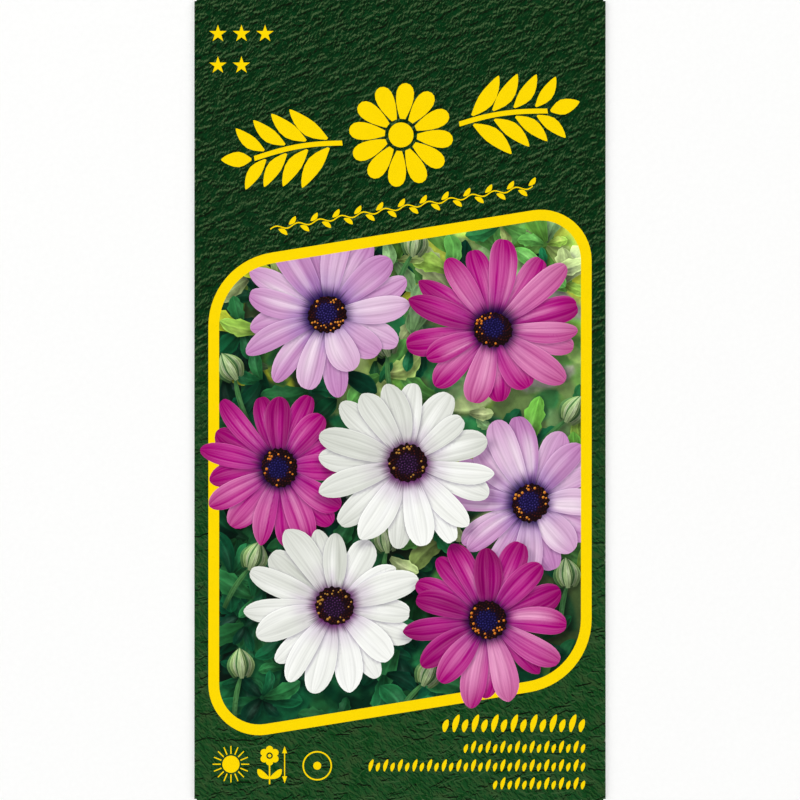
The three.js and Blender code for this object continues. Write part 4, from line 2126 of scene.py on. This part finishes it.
@dataclass
class Seeds:
    """The loose seeds."""

    slot: str = "seed_coat"
    prefix: str = "seed_"
    wrinkles: float = 1.5  # to a millimetre
    wrinkle: float = 0.05  # how high they are
    roughening: tuple[float, float, int] = (0.8, 2.1, 4)  # the finer octaves' fall-off, gap and number
    shrink: float = 0.03  # how far the coat lies in from the solid

    def build(self) -> None:
        """Rounds each CAD seed and wrinkles its coat."""
        coat = SeedCoat().dressed()
        for node in sorted(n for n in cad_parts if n.startswith(self.prefix)):
            grain = bmesh.new()
            grain.from_mesh(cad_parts[node].data)
            bmesh.ops.remove_doubles(grain, verts=grain.verts[:], dist=1e-6)
            bmesh.ops.recalc_face_normals(grain, faces=grain.faces[:])
            bmesh.ops.subdivide_edges(grain, edges=grain.edges[:], cuts=2, use_grid_fill=True, smooth=0.35)
            grain.normal_update()
            for vert in grain.verts:
                bump = noise.fractal(vert.co / MM * self.wrinkles, *self.roughening)
                vert.co += vert.normal * (self.wrinkle * bump - self.shrink) * MM
            placed(smooth_mesh(grain, f"wrinkled_{node}", coat), node, self.slot)


@dataclass
class GlueLines:
    """The three lines of glue, whose CAD shapes stay."""

    nodes: tuple[str, ...] = ("back_seam_glue", "bottom_flap_glue", "top_flap_glue")

    def dress(self) -> None:
        """Gives each line its finish."""
        glue = DriedGlue().dressed()
        for node in self.nodes:
            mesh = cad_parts[node].data
            mesh.materials.clear()
            mesh.materials.append(glue)
            log.info("%s: dressed as %s", node, glue.name)


# --- The studio ---


@dataclass
class Studio:
    """A seamless pale floor, soft light from all round, and a camera straight above."""

    view_height: float = 159.5  # millimetres of the packet's plane in the square picture
    lens: float = 600.0
    sensor: float = 36.0
    focus: float = 0.5  # millimetres: the height of that plane
    floor_side: float = 6.0  # metres
    floor_drop: float = 0.02  # millimetres
    light_distance: float = 1.3  # metres
    light_size: float = 0.9  # metres
    light_height: float = 33.0  # over the horizon: lower than what the varnish mirrors to the camera
    power: float = 3.6  # watts
    # Each soft box's azimuth, and its share of the power.
    boxes: tuple[tuple[float, float], ...] = ((135, 1.25), (45, 0.95), (-45, 0.85), (-135, 0.95))
    overhead: float = 1.85  # watts a square metre, straight down, so that nearly no shadow shows
    sky: float = 0.04

    def build(self) -> None:
        """Builds the camera, the floor, the lights and the sky."""
        self.camera()
        self.floor()
        self.lights()
        bpy.context.scene.view_settings.view_transform = "Standard"

    def camera(self) -> None:
        """A long lens looks straight down on the front, with the packet's top up."""
        low, high = CAD_BOX
        data = bpy.data.cameras.new("camera")
        data.lens, data.sensor_width = self.lens, self.sensor
        distance = self.view_height * MM * self.lens / self.sensor
        data.clip_end = distance * 3
        camera = bpy.data.objects.new("camera", data)
        camera.location = ((low.x + high.x) / 2, (low.y + high.y) / 2, self.focus * MM + distance)
        bpy.context.scene.collection.objects.link(camera)
        bpy.context.scene.camera = camera

    def floor(self) -> None:
        """A wide flat sheet just under the packet."""
        sheet = bmesh.new()
        bmesh.ops.create_grid(sheet, x_segments=4, y_segments=4, size=self.floor_side / 2)
        floor = bpy.data.objects.new("floor", smooth_mesh(sheet, "floor", StudioPaper().dressed()))
        floor.location.z = -self.floor_drop * MM
        bpy.context.scene.collection.objects.link(floor)

    def lights(self) -> None:
        """Soft boxes round the packet, the strongest to the upper left, light from above, and a sky."""
        for number, (azimuth, share) in enumerate(self.boxes):
            data = bpy.data.lights.new(f"soft_box_{number}", "AREA")
            data.shape, data.size, data.energy = "SQUARE", self.light_size, self.power * share
            light = bpy.data.objects.new(data.name, data)
            up = math.radians(self.light_height)
            aim = Vector((*(heading(azimuth) * math.cos(up)), math.sin(up)))
            light.location = aim * self.light_distance
            light.rotation_euler = aim.to_track_quat("Z", "Y").to_euler()
            light.visible_camera = False
            bpy.context.scene.collection.objects.link(light)
        straight = bpy.data.lights.new("overhead", "SUN")
        straight.energy, straight.angle = self.overhead, math.radians(6)
        overhead = bpy.data.objects.new("overhead", straight)
        overhead.visible_glossy = False
        bpy.context.scene.collection.objects.link(overhead)
        world = bpy.data.worlds.new("sky")
        world.use_nodes = True
        world.node_tree.nodes["Background"].inputs["Color"].default_value = solid("#ffffff")
        world.node_tree.nodes["Background"].inputs["Strength"].default_value = self.sky
        bpy.context.scene.world = world


def main() -> None:
    """Builds the packet in order."""
    logging.basicConfig(level=logging.INFO, format="%(name)s: %(message)s")
    Studio().build()
    Envelope().build()
    Sachet().build()
    Seeds().build()
    GlueLines().dress()


if __name__ == "__main__":
    main()
